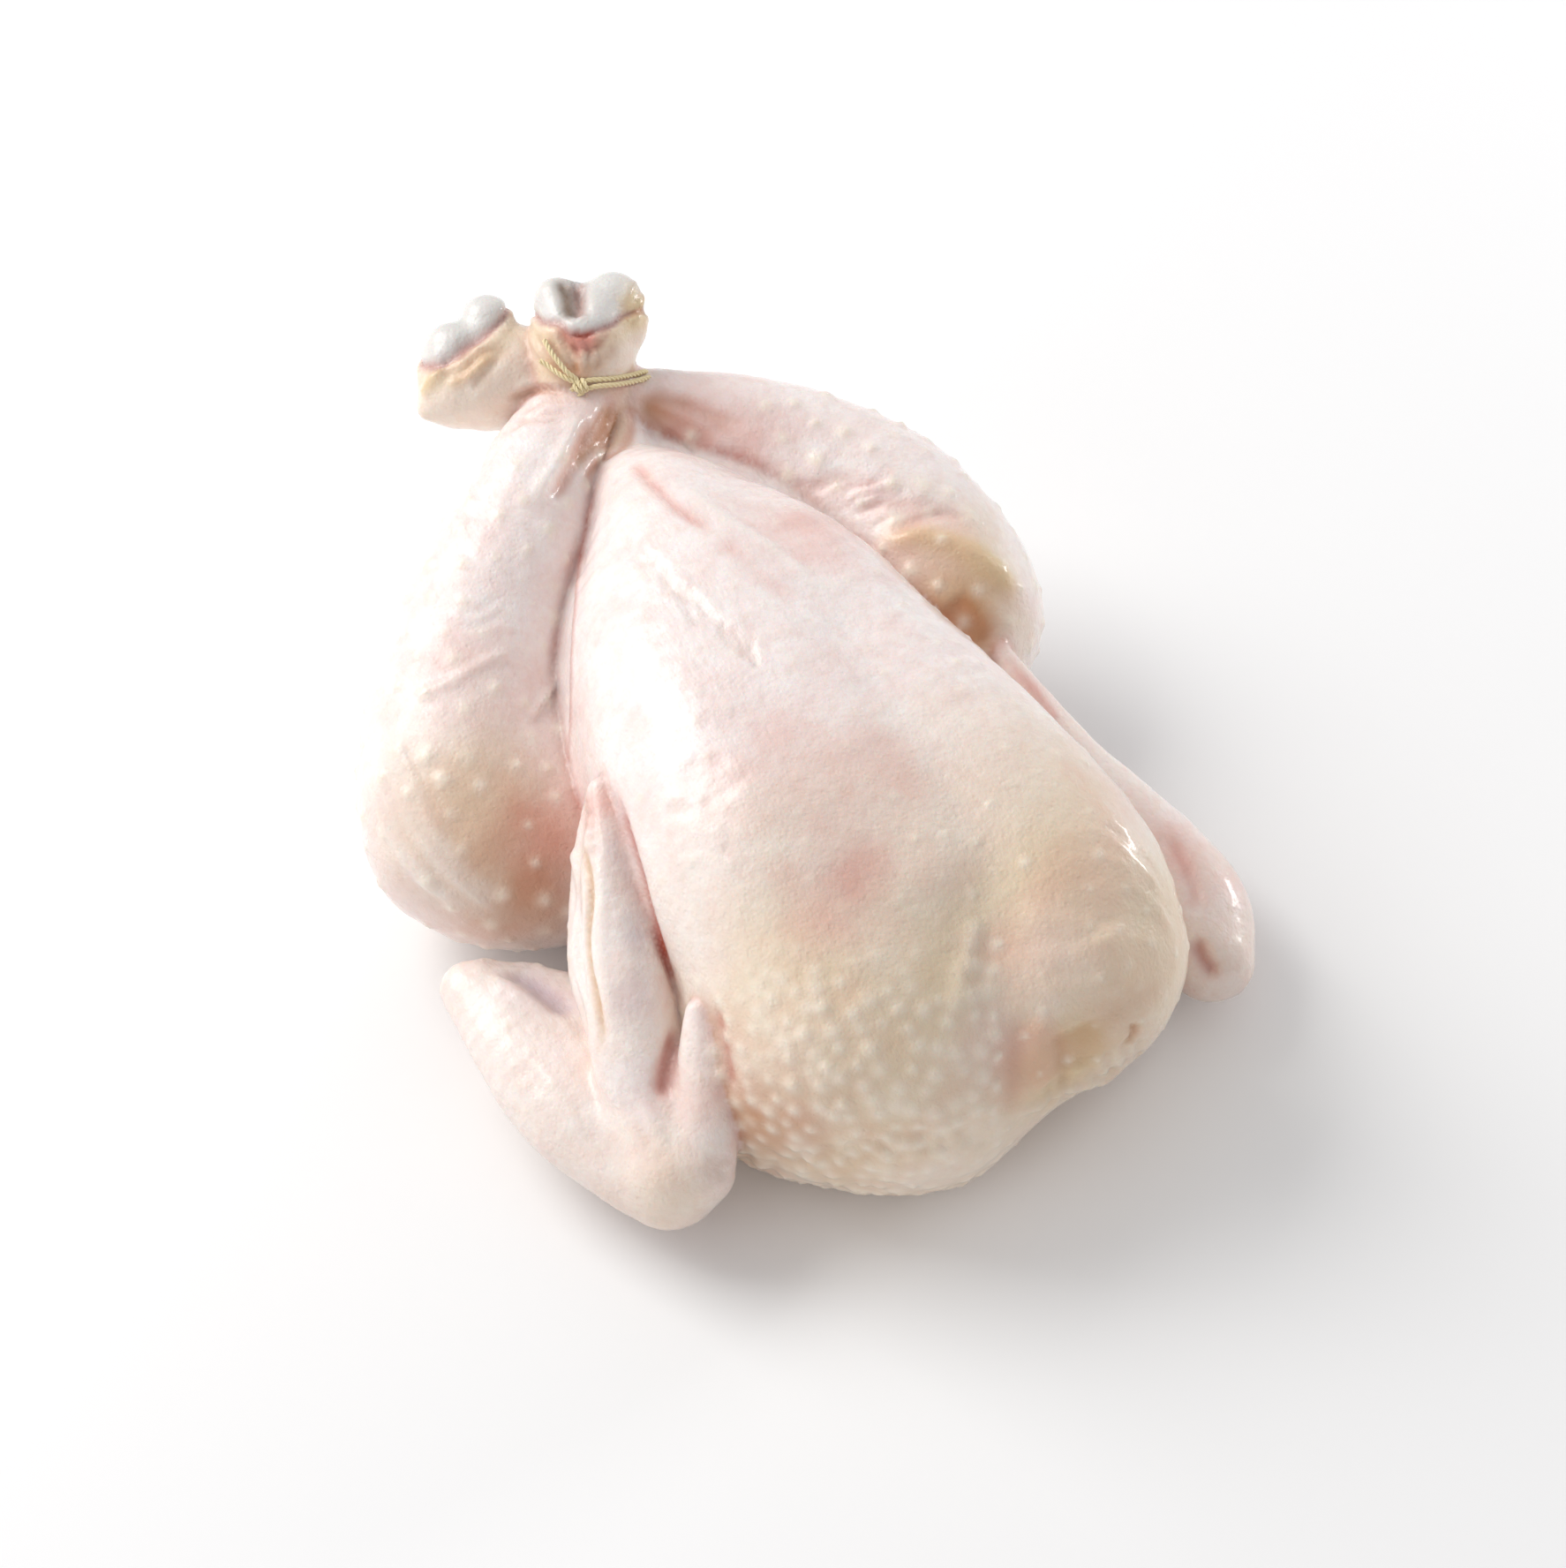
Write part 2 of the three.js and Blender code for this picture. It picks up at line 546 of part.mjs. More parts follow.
// The whole string as one solid; extra thickens it, for the groove that it presses into the skin
function twine(extra) {
  const radius = TWINE_RADIUS + extra;
  const turns = [-TURN_SPREAD / 2, TURN_SPREAD / 2].map(turn);
  const rings = turns.map((points) => {
    const path = new THREE.CatmullRomCurve3(points, true);
    return solidOf(new THREE.TubeGeometry(path, LOOP_POINTS, radius, TWINE_SIDES, true));
  });
  const facing = vector(KNOT_DIRECTION).normalize();
  const middle = turns[0].map((p, i) => p.clone().lerp(turns[1][i], 0.5));
  const centre = vector(TIE.centre);
  const towards = (p) => p.clone().sub(centre).normalize().dot(facing);
  const knotAt = middle.reduce((best, p) => (towards(p) > towards(best) ? p : best));
  knotAt.addScaledVector(knotAt.clone().sub(centre).normalize(), KNOT_RADIUS / 2);
  const ball = new THREE.SphereGeometry(KNOT_RADIUS + extra, KNOT_SIDES, KNOT_ROWS);
  const knot = solidOf(ball.translate(...knotAt.toArray()));
  const section = new THREE.Shape(Array.from({ length: TWINE_SIDES }, (_, i) => {
    const angle = (2 * Math.PI * i) / TWINE_SIDES;
    return new THREE.Vector2(radius * Math.cos(angle), radius * Math.sin(angle));
  }));
  const ends = ENDS.map(({ along, length }) => {
    const direction = vector(along).normalize();
    const points = Array.from({ length: END_SPANS }, (_, i) => vector(
      onSkin(knotAt.clone().addScaledVector(direction, ((i + 1) / END_SPANS) * length).toArray())));
    const extrudePath = new THREE.CatmullRomCurve3([knotAt, ...points]);
    return solidOf(new THREE.ExtrudeGeometry(section, { steps: END_STEPS, extrudePath }));
  });
  return [...rings.slice(1), knot, ...ends].reduce((all, part) => all.add(part), rings[0]);
}

// The bird, with the flat spot that it rests on cut at z = 0, and the groove under the twine
function chicken() {
  const net = surfaceNet(flesh);
  const points = settled(flesh, net.points);
  const whole = solidOf(geometryOf(points, triangulated(points, net.quads)));
  const above = new THREE.BoxGeometry(ROOM, ROOM, ROOM).translate(0, 0, ROOM / 2);
  const cut = whole.intersect(solidOf(above)).subtract(twine(GROOVE_GAP)).getMesh();
  const rows = (list) => Array.from({ length: list.length / 3 }, (_, i) => [...list.slice(3 * i, 3 * i + 3)]);
  const skin = thinned(rows(cut.vertProperties), rows(cut.triVerts), SKIN_TRIANGLES);
  const level = skin.points.map(([x, y, z]) => [x, y, z < REST_SNAP ? 0 : z]);
  return geometryOf(level, skin.triangles);
}

function piece(name, geometry, color, roughness) {
  const material = new THREE.MeshStandardMaterial({ color, roughness, metalness: 0 });
  const mesh = new THREE.Mesh(geometry, material);
  mesh.name = name;
  return mesh;
}

const bird = new THREE.Group();
bird.position.set(...TO_ORIGIN);
bird.add(piece("chicken", chicken(), SKIN_COLOUR, SKIN_ROUGHNESS));
bird.add(piece("twine", geometryFrom(twine(0)), TWINE_COLOUR, TWINE_ROUGHNESS));

export default bird;
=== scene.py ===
# %% [markdown]
# # A whole raw chicken, trussed and ready to roast
#
# This notebook dresses the solid model of a plucked, raw chicken in skin. The real thing is a
# body with two plump breast lobes, two legs drawn together and tied over the tail, and two
# wings folded against the sides. Everything soft is one wet, slightly translucent skin, so
# the bird is one mesh; only the kitchen string is a piece of its own.
#
# The skin could be sculpted by hand, but a form that is written down can be changed later by
# changing a number. So the bird is made the way a sculptor builds a clay figure over wire:
# chains of balls give the muscles, a soft union melts them together, and thin strokes press
# the folds and wrinkles into the result.

import math
from concurrent.futures import ThreadPoolExecutor
import bpy
import numpy as np
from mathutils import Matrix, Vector, kdtree


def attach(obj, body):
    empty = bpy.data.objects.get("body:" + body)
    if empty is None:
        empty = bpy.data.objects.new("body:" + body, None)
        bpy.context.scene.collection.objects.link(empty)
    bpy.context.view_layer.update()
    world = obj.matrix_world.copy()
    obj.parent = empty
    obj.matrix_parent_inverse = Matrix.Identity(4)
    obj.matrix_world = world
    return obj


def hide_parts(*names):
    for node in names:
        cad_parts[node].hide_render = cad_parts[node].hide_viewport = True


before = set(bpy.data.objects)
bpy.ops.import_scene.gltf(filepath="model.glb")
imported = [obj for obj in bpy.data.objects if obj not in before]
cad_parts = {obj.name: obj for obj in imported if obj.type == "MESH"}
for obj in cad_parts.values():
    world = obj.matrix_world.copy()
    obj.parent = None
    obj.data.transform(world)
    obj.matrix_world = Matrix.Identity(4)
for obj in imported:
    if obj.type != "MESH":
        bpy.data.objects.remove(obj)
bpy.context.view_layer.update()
MM = 0.001
SHIFT = np.array([6.6, -13.2, 0.0])

# %% [markdown]
# ## The camera
#
# The camera looks down at the breast from the neck end, half way between level and overhead
# and a little to the bird's own right. A long lens from 0.9 m keeps the near wing from looking
# too big. The lens shift slides the picture on the sensor without turning the camera.

# %% Place the camera
PICTURE = (1774, 1776)
SENSOR = 36.0
FOCAL_PX = 4204.8
CENTRE_PX = np.array([905.6, 849.5])
AZIMUTH = math.radians(-27.5)
ELEVATION = math.radians(50)
TARGET = np.array([0.0, 0.0, 50.0])
DISTANCE = 900.0

back = np.array([math.sin(AZIMUTH) * math.cos(ELEVATION), -math.cos(AZIMUTH) * math.cos(ELEVATION),
                 math.sin(ELEVATION)])
right = np.cross([0.0, 0.0, 1.0], back)
right /= np.linalg.norm(right)
up = np.cross(back, right)
eye = TARGET + DISTANCE * back

scene = bpy.context.scene
camera = bpy.data.objects.new("camera", bpy.data.cameras.new("camera"))
scene.collection.objects.link(camera)
scene.camera = camera
camera.location = Vector((eye + SHIFT) * MM)
camera.rotation_mode = "QUATERNION"
camera.rotation_quaternion = Vector(-back).to_track_quat("-Z", "Y")
camera.data.sensor_width = SENSOR
camera.data.lens = FOCAL_PX * SENSOR / max(PICTURE)
camera.data.shift_x = (PICTURE[0] / 2 - CENTRE_PX[0]) / max(PICTURE)
camera.data.shift_y = (CENTRE_PX[1] - PICTURE[1] / 2) / max(PICTURE)
print("camera at", [round(v, 3) for v in camera.location], "lens", round(camera.data.lens, 1))

# %% [markdown]
# ## Colours and nodes
#
# Colours are picked as sRGB hex values, as on any screen, and turned to the linear numbers
# that light works with by one function. Another small function adds a shader node, sets its
# sockets and links them, which keeps each material short enough to read.

# %% Helpers for materials
def linear(hex_colour, alpha=1.0):
    """Turns an sRGB colour such as "e8d2c4" to linear red, green, blue and alpha."""
    parts = [int(hex_colour[i:i + 2], 16) / 255 for i in (0, 2, 4)]
    return tuple(p / 12.92 if p <= 0.04045 else ((p + 0.055) / 1.055) ** 2.4 for p in parts) + (alpha,)


def add_node(tree, kind, settings=None, **sockets):
    """Adds a node; a socket takes a number, a colour or another node's output socket."""
    node = tree.nodes.new(kind)
    for name, value in (settings or {}).items():
        setattr(node, name, value)
    for name, value in sockets.items():
        socket = node.inputs[int(name[1:]) if name[1:].isdigit() else name.replace("_", " ")]
        if isinstance(value, bpy.types.NodeSocket):
            tree.links.new(value, socket)
        else:
            socket.default_value = value
    return node


def new_material(name):
    """An empty node material with its output and a Principled shader on it."""
    material = bpy.data.materials.new(name)
    material.use_nodes = True
    tree = material.node_tree
    tree.nodes.clear()
    shader = tree.nodes.new("ShaderNodeBsdfPrincipled")
    output = tree.nodes.new("ShaderNodeOutputMaterial")
    tree.links.new(shader.outputs[0], output.inputs[0])
    return material, tree, shader


print("white is", linear("ffffff"))

# %% [markdown]
# ## Light and floor
#
# The look is a bright studio: a big soft light from the upper left that nearly whites out the
# skin which faces it, a smaller one behind on the right for the wet glints along the edge, and
# a pale surround that fills the shadows. Raw skin is wet, so it shows each light as a soft
# highlight; large lights keep these from turning into hard dots.

# %% Add the lights, the surround and the floor
SURROUND_STRENGTH = 0.52
FLOOR_SIZE = 6000.0


def soft_light(name, position, size, watts, colour):
    """A square area light that looks at the bird; position and size are in millimetres."""
    data = bpy.data.lights.new(name, "AREA")
    data.size = size * MM
    data.energy = watts
    data.color = linear(colour)[:3]
    light = bpy.data.objects.new(name, data)
    scene.collection.objects.link(light)
    light.location = Vector((np.array(position, float) + SHIFT) * MM)
    light.rotation_mode = "QUATERNION"
    towards = np.array(position, float) - TARGET
    light.rotation_quaternion = Vector(towards).to_track_quat("Z", "Y")


soft_light("key_light", (-620, 800, 950), 900, 14.5, "fffefc")
soft_light("left_fill", (-1100, -200, 500), 700, 1.6, "fdfdff")
soft_light("rim_light", (1050, 60, 240), 230, 3.4, "ffffff")
soft_light("front_fill", (300, -1100, 700), 900, 0.5, "fff6ee")

scene.view_settings.view_transform = "Standard"
world = bpy.data.worlds.new("pale_surround")
scene.world = world
world.use_nodes = True
surround = world.node_tree.nodes["Background"]
surround.inputs["Color"].default_value = linear("fbfbfd")
surround.inputs["Strength"].default_value = SURROUND_STRENGTH

floor_mesh = bpy.data.meshes.new("floor")
half_floor = FLOOR_SIZE / 2 * MM
CORNERS = ((-1, -1), (1, -1), (1, 1), (-1, 1))
floor_mesh.from_pydata([(x * half_floor, y * half_floor, 0) for x, y in CORNERS], [], [(0, 1, 2, 3)])
floor = bpy.data.objects.new("floor", floor_mesh)
scene.collection.objects.link(floor)
white_board, tree, shader = new_material("matt white board")
shader.inputs["Base Color"].default_value = linear("f7f7f7")
shader.inputs["Roughness"].default_value = 0.8
floor_mesh.materials.append(white_board)

# %% [markdown]
# ## Clay over wire: the forms
#
# Each muscle is a chain of balls, four numbers a ball: x, y, z and radius in millimetres. The
# curve through the balls is a Catmull-Rom spline, and the distance to a chain is the distance
# to the nearest cone between two neighbouring balls. Where two forms meet, `smooth_join` takes
# the smaller distance but rounds the corner, over a crease width: 12 mm melts a thigh into the
# belly, 1.8 mm leaves the sharp fold that a leg makes against the breast.

# %% Distance to one form
CURVE_STEPS = 5


def smooth_join(a, b, width):
    """The union of two distances, rounded over `width` millimetres where they meet."""
    mix = np.clip(0.5 + 0.5 * (b - a) / width, 0, 1)
    return b + (a - b) * mix - width * mix * (1 - mix)


def smooth_chain(balls, steps=CURVE_STEPS):
    """Catmull-Rom points through the balls, so that a limb swells and bends without corners."""
    p = np.array(balls, float)
    p = np.vstack([2 * p[0] - p[1], p, 2 * p[-1] - p[-2]])
    rows = []
    for a, b, c, d in zip(p, p[1:], p[2:], p[3:]):
        for t in np.arange(steps) / steps:
            rows.append(0.5 * (2 * b + (c - a) * t + (2 * a - 5 * b + 4 * c - d) * t ** 2
                               + (3 * b - a - 3 * c + d) * t ** 3))
    return np.array(rows + [p[-2]])


class Limb:
    """Distance to a chain of balls; `press` flattens it along a direction, as a wing is flat."""

    def __init__(self, balls, press=None):
        chain = smooth_chain(balls)
        centres, radii = chain[:, :3], chain[:, 3]
        self.origin = centres[0]
        self.along, self.extra = np.zeros(3), 0.0
        if press:
            self.along = np.array(press[0], float) / np.linalg.norm(press[0])
            self.extra = press[1] - 1
        self.middle = (centres.min(0) + centres.max(0)) / 2
        self.reach = (np.linalg.norm(centres - self.middle, axis=1) + radii).max()
        flat = self.flatten(centres)
        self.spans = list(zip(flat, flat[1:], radii, radii[1:]))

    def flatten(self, p):
        return p + (self.extra * ((p - self.origin) @ self.along))[:, None] * self.along

    def __call__(self, p):
        q = self.flatten(p) if self.extra else p
        nearest = np.full(len(q), np.inf)
        for a, b, radius, next_radius in self.spans:
            axis = b - a
            t = np.clip((q - a) @ axis / (axis @ axis), 0, 1)
            away = q - a - t[:, None] * axis
            distance = np.sqrt(np.einsum("ij,ij->i", away, away)) - radius - (next_radius - radius) * t
            np.minimum(nearest, distance, out=nearest)
        return nearest


def egg(centre, half):
    """Distance to an egg shape with these half sizes."""
    centre, half = np.array(centre, float), np.array(half, float)

    def distance(p):
        q = p - centre
        near = np.linalg.norm(q / half, axis=1)
        slope = np.maximum(np.linalg.norm(q / half ** 2, axis=1), 1e-9)
        return near * (near - 1) / slope
    return distance


def united(first, *rest):
    """Joins forms one after another, each with its own crease width, and skips far ones."""
    def distance(p):
        d = first(p)
        for form, width in rest:
            if isinstance(form, Limb):
                near = np.linalg.norm(p - form.middle, axis=1) - form.reach < d + width
                if near.any():
                    d[near] = smooth_join(d[near], form(p[near]), width)
            else:
                d = smooth_join(d, form(p), width)
        return d
    return distance


def mirrored(balls):
    return [(-x, y, z, r) for x, y, z, r in balls]


print("one ball of 10 mm, from 30 mm away:", Limb([(0, 0, 0, 10), (0, 0, 1, 10)])(np.array([[30.0, 0, 0]])))

# %% [markdown]
# ## The body
#
# The trunk is an egg on its back. Two breast lobes lie on it either side of the keel bone, and
# widen towards the neck end, where the skin is gathered under. Belly, tail and the loose skin
# that closes the vent fill the space between the legs.

# %% Trunk, breast and belly
FOLD = {"lobes": 17, "keel": 15, "breast": 12, "belly": 14, "neck": 10, "vent": 10, "skin": 8, "flap": 5,
        "hand": 4, "leg": 1.8, "joint": 2.5, "wing": 2.2}
TRUNK = [(0, 0, 38), (56, 92, 40)]
TAIL = [(0, 117, 25), (15, 14, 9)]
RIGHT_LOBE = [(8, 65, 66, 14), (11, 33, 66, 24), (17, -2, 63, 27), (22, -36, 59, 30), (28, -66, 53, 30),
              (26, -79, 45, 31)]
LEFT_LOBE = [(-7, 68, 66, 12), (-17, 36, 66, 24), (-23, 2, 64, 30), (-26, -30, 60, 32), (-25, -52, 53, 32),
             (-22, -68, 44, 33)]
NECK = [(-24, -70, 40, 34), (-14, -78, 34, 35)]
SHOULDER = [(34, -46, 26, 22), (36, -66, 24, 24.5)]
KEEL = [(-5, 82, 70, 8), (-6, 62, 76, 11), (-7, 36, 79, 12), (-6, 5, 80, 12), (-5, -30, 77, 12),
        (-2, -60, 68, 12)]
BELLY = [(0, 40, 34, 34), (0, 80, 30, 24), (0, 104, 26, 14)]
VENT_SKIN = [(2, 101, 70, 7), (0, 96, 61, 11), (-1, 91, 50, 16)]
VENT_SHEET = [(1, 100, 74, 5), (-2, 95, 71, 6), (-5, 89, 67, 6)]
GROIN = [(11, 88, 60, 10), (26, 70, 54, 13), (38, 46, 44, 14)]

left_breast = united(Limb(LEFT_LOBE), (Limb(NECK), FOLD["neck"]), (Limb(mirrored(SHOULDER)), FOLD["belly"]))
right_breast = united(Limb(RIGHT_LOBE), (Limb(SHOULDER), FOLD["belly"]))
breast = united(right_breast, (left_breast, FOLD["lobes"]), (Limb(KEEL), FOLD["keel"]))
body = united(egg(*TRUNK), (breast, FOLD["breast"]), (Limb(BELLY), FOLD["belly"]), (egg(*TAIL), FOLD["skin"]),
              (Limb(VENT_SKIN), FOLD["vent"]), (Limb(VENT_SHEET), FOLD["flap"]),
              (Limb(GROIN), FOLD["skin"]), (Limb(mirrored(GROIN)), FOLD["skin"]))
print("the belly is", len(BELLY), "balls and the keel", len(KEEL))

# %% [markdown]
# ## Legs and hocks
#
# A trussed leg runs forward along the breast, bends at the knee and tucks its thigh under. The
# feet have been cut off at the hock, so each shin ends in a sleeve of skin with the two pale
# knuckles of the joint showing. One hock lies across the other where the string holds them.

# %% Legs and hocks
LEFT_LEG = [(-4, 107, 80, 8.5), (-19, 97, 75, 13), (-35, 83, 67, 18), (-52, 68, 57, 21), (-65, 52, 47, 24),
            (-74, 37, 40, 25), (-77, 26, 34, 23)]
LEFT_THIGH = [(-77, 26, 34, 22), (-68, 13, 30, 20), (-47, 10, 28, 21)]
LEFT_HIP = [(-66, 24, 30, 22), (-38, 34, 26, 25)]
RIGHT_LEG = [(6, 104, 74, 9), (19, 98, 69, 11), (33, 89, 63, 15), (46, 76, 56, 19), (56, 59, 50, 22),
             (60, 43, 44, 22.5), (60, 31, 38, 20.5)]
RIGHT_THIGH = [(60, 31, 38, 20), (50, 25, 31, 21), (35, 26, 29, 23)]
RIGHT_HIP = [(52, 32, 30, 22), (34, 36, 26, 25)]
FRONT_SLEEVE = [(-4, 107, 80, 8), (-4, 109, 82.5, 10), (-3, 113, 87, 13.3), (-1, 116, 89, 13.5)]
FRONT_KNUCKLES = [[(-4, 120, 92, 6.5), (-4, 124.5, 96.5, 5.5)], [(8, 115, 91, 7.5), (9, 119, 95.5, 6.8)]]
BACK_SLEEVE = [(4, 106, 76, 7.5), (-7, 115, 79, 8), (-22, 124, 79, 14), (-30, 126, 79, 12)]
BACK_KNUCKLES = [[(-21, 131, 87, 7), (-20, 133, 89, 6.5)], [(-31, 127, 84, 8), (-31, 130, 86, 7)]]
BACK_FLAP = [(-32, 122, 80, 9), (-42, 121, 79, 3)]
TIE_COLLAR = [(-5, 107, 79, 10), (-12, 114, 74, 10), (-16, 119, 69, 7)]


def leg(shin, thigh, hip):
    return united(Limb(shin), (Limb(thigh), FOLD["breast"]), (Limb(hip), FOLD["breast"]))


def knuckles(pair):
    return united(Limb(pair[0]), (Limb(pair[1]), FOLD["joint"]))


left_leg = leg(LEFT_LEG, LEFT_THIGH, LEFT_HIP)
right_leg = leg(RIGHT_LEG, RIGHT_THIGH, RIGHT_HIP)
front_knuckles = knuckles(FRONT_KNUCKLES)
back_knuckles = knuckles(BACK_KNUCKLES)
front_hock = united(Limb(FRONT_SLEEVE), (front_knuckles, FOLD["joint"]))
back_hock = united(Limb(BACK_SLEEVE), (back_knuckles, FOLD["joint"]), (Limb(BACK_FLAP), FOLD["flap"]),
                   (Limb(TIE_COLLAR), FOLD["flap"]))
print("legs end at the hocks, knuckles", FRONT_KNUCKLES[0][1][2], "mm up")

# %% [markdown]
# ## Wings
#
# A wing has three parts: the upper arm against the body, the flat with its two bones, and the
# hand with its pointed tip and a small thumb. The left hand lies on the breast with the thumb
# standing beside it; the right one is tucked down, and only its tip and wrist show.

# %% Wings
LEFT_FLAT = [(-96, -11, 27, 5), (-92, -26, 25, 10), (-87, -48, 22, 13), (-80, -66, 20, 13),
             (-74, -78, 19, 12)]
LEFT_WEB = [(-92, -11, 24, 4), (-82, -18, 22, 8), (-76, -31, 20, 11), (-72, -52, 20, 12)]
LEFT_HAND = [(-73, -78, 24, 11.5), (-71, -64, 31, 11.3), (-70, -53, 40, 10.6), (-66, -41, 50, 9.6),
             (-62, -26, 60, 7.6), (-58, -15, 66, 5.5), (-55, -5, 71, 3.2)]
LEFT_EDGE = [(-72, -45, 37, 6), (-71, -33, 44, 6), (-66, -20, 53, 4.5), (-61, -10, 61, 3), (-57, -4, 67, 1.8)]
LEFT_THUMB = [(-69, -82, 25, 9), (-64, -76, 34, 8), (-60, -69, 42.5, 7), (-58, -65, 49.5, 5.6),
              (-58, -62, 54.5, 3)]
LEFT_UPPER = [(-42, -60, 22, 15), (-62, -44, 20, 13), (-80, -27, 20, 10), (-92, -13, 23, 6)]
RIGHT_FLAT = [(67, -8, 15, 5), (71, -24, 15, 8), (76, -46, 16, 12), (76, -66, 16, 12.5), (71, -80, 16, 10.5)]
RIGHT_HAND = [(71, -78, 17, 9), (75, -62, 20, 10), (73, -41, 25, 8.5), (67, -22, 31, 6.5), (63, -5, 39, 4.7),
              (61, 8, 46, 2.5)]
RIGHT_UPPER = [(44, -60, 22, 15), (58, -42, 18, 13), (65, -24, 16, 10), (67, -9, 15, 6)]
FLAT_PRESS = ((-0.2, -0.1, 1), 1.3)
WEB_PRESS = ((-0.2, -0.1, 1), 1.8)

left_wing = united(Limb(LEFT_FLAT, FLAT_PRESS), (Limb(LEFT_WEB, WEB_PRESS), FOLD["skin"]),
                   (Limb(LEFT_UPPER), FOLD["skin"]), (Limb(LEFT_HAND), FOLD["hand"]),
                   (Limb(LEFT_EDGE), FOLD["hand"]), (Limb(LEFT_THUMB), FOLD["wing"]))
right_wing = united(Limb(RIGHT_FLAT), (Limb(RIGHT_UPPER), FOLD["skin"]), (Limb(RIGHT_HAND), FOLD["hand"]))

flesh = united(body, (left_leg, FOLD["leg"]), (right_leg, FOLD["leg"]), (front_hock, FOLD["joint"]),
               (back_hock, FOLD["joint"]), (left_wing, FOLD["wing"]), (right_wing, FOLD["wing"]))


def bird(p):
    """Distance to the whole bird, cut flat at the height of the table."""
    return np.maximum(flesh(p), -p[:, 2])


print("the breast under the camera:", round(float(bird(np.array([[0.0, 0.0, 120.0]]))[0]), 1), "mm below 120")

# %% [markdown]
# ## From distances to a mesh
#
# Surface nets turn the distance into a mesh: space is cut into small cubes, each cube that the
# skin passes through gets one point, and each cube edge that it cuts gets one four-sided face.
# A coarse pass finds the cubes near the skin, so that the fine pass is only done there. The
# points then slide on to the surface exactly.

# %% The net
CELL = 1.15
COARSE = 6
NEARBY = 1.3
SETTLE_ROUNDS = 2
LOW = np.array([-112.0, -122.0, -3.0])
HIGH = np.array([98.0, 148.0, 110.0])
workers = ThreadPoolExecutor(4)


def in_batches(form, p, size=15000):
    """Measures many points in small lots, side by side on the processor's cores."""
    return np.concatenate(list(workers.map(form, np.array_split(p, max(1, len(p) // size)))))


def surface_net(form, low, high, cell):
    """Points and four-sided faces of the surface where form is zero."""
    count = np.ceil((high - low) / (cell * COARSE)).astype(int) * COARSE
    steps = [low[i] + cell * np.arange(0, count[i] + 1, COARSE) for i in range(3)]
    grids = np.meshgrid(*steps, indexing="ij")
    coarse_points = np.stack(grids, -1)
    coarse = in_batches(form, coarse_points.reshape(-1, 3)).reshape(coarse_points.shape[:3])
    near = np.abs(coarse) < cell * COARSE * NEARBY
    grown = near.copy()
    for axis in range(3):
        grown |= np.roll(near, 1, axis) | np.roll(near, -1, axis)
        near = grown.copy()

    def spread(a):
        for axis in range(3):
            a = np.repeat(a, COARSE, axis)
        return a[:count[0] + 1, :count[1] + 1, :count[2] + 1]
    depth = spread(coarse)
    index = np.argwhere(spread(grown))
    depth[tuple(index.T)] = in_batches(form, low + cell * index)
    inside = depth < 0
    total = np.zeros(tuple(count), np.int8)
    corners = [(i, j, k) for i in (0, 1) for j in (0, 1) for k in (0, 1)]
    for i, j, k in corners:
        total += inside[i:count[0] + i, j:count[1] + j, k:count[2] + k]
    cells = np.argwhere((total > 0) & (total < 8))
    number = np.full(tuple(count), -1)
    number[tuple(cells.T)] = np.arange(len(cells))
    where, cuts = np.zeros((len(cells), 3)), np.zeros(len(cells))
    for axis in range(3):
        for corner in corners:
            if corner[axis]:
                continue
            a = depth[tuple((cells + corner).T)]
            b = depth[tuple((cells + corner + np.eye(3, dtype=int)[axis]).T)]
            cut = (a < 0) != (b < 0)
            place = np.tile(np.array(corner, float), (len(cells), 1))
            place[:, axis] = np.where(cut, a / np.where(cut, a - b, 1), 0)
            where += place * cut[:, None]
            cuts += cut
    faces = []
    for axis in range(3):
        one, two = (axis + 1) % 3, (axis + 2) % 3
        step = np.eye(3, dtype=int)
        lower = inside[tuple(slice(0, count[i]) if i == axis else slice(None) for i in range(3))]
        upper = inside[tuple(slice(1, count[i] + 1) if i == axis else slice(None) for i in range(3))]
        edge = np.argwhere(lower != upper)
        edge = edge[(edge[:, [one, two]] > 0).all(1) & (edge[:, [one, two]] < count[[one, two]]).all(1)]
        around = [edge - step[one] - step[two], edge - step[two], edge, edge - step[one]]
        quad = np.stack([number[tuple(c.T)] for c in around], 1)
        turned = upper[tuple(edge.T)]
        quad[turned] = quad[turned][:, ::-1]
        faces.append(quad)
    return low + cell * (cells + where / cuts[:, None]), np.concatenate(faces)


def point_normals(points, faces):
    """Which way is out, at each point: the sum of its faces' normals."""
    normal = np.cross(points[faces[:, 2]] - points[faces[:, 0]], points[faces[:, 3]] - points[faces[:, 1]])
    total = np.stack([np.bincount(faces.ravel(), np.repeat(n, 4), len(points)) for n in normal.T], 1)
    return total / np.maximum(np.linalg.norm(total, axis=1), 1e-9)[:, None]


skin_points, skin_faces = surface_net(bird, LOW, HIGH, CELL)
for settle in range(SETTLE_ROUNDS):
    centres = skin_points[skin_faces].mean(1)
    uses = np.bincount(skin_faces.ravel(), minlength=len(skin_points))
    pulled = np.stack([np.bincount(skin_faces.ravel(), np.repeat(centres[:, i], 4), len(skin_points))
                       for i in range(3)], 1) / uses[:, None]
    skin_points = pulled - in_batches(bird, pulled)[:, None] * point_normals(pulled, skin_faces)
print(len(skin_points), "points and", len(skin_faces), "faces of", CELL, "mm")

# %% [markdown]
# ## Noise, and where a fold is
#
# Two helpers give the skin its life. `noise` makes smooth random hills a given number of
# millimetres apart. `seen` finds the skin that the camera sees at a place of the picture: it
# walks along the line of sight until the distance to the bird is nothing. That way a wrinkle
# that the eye finds at a certain place lands on the very skin that is there, and looks right
# from every side.

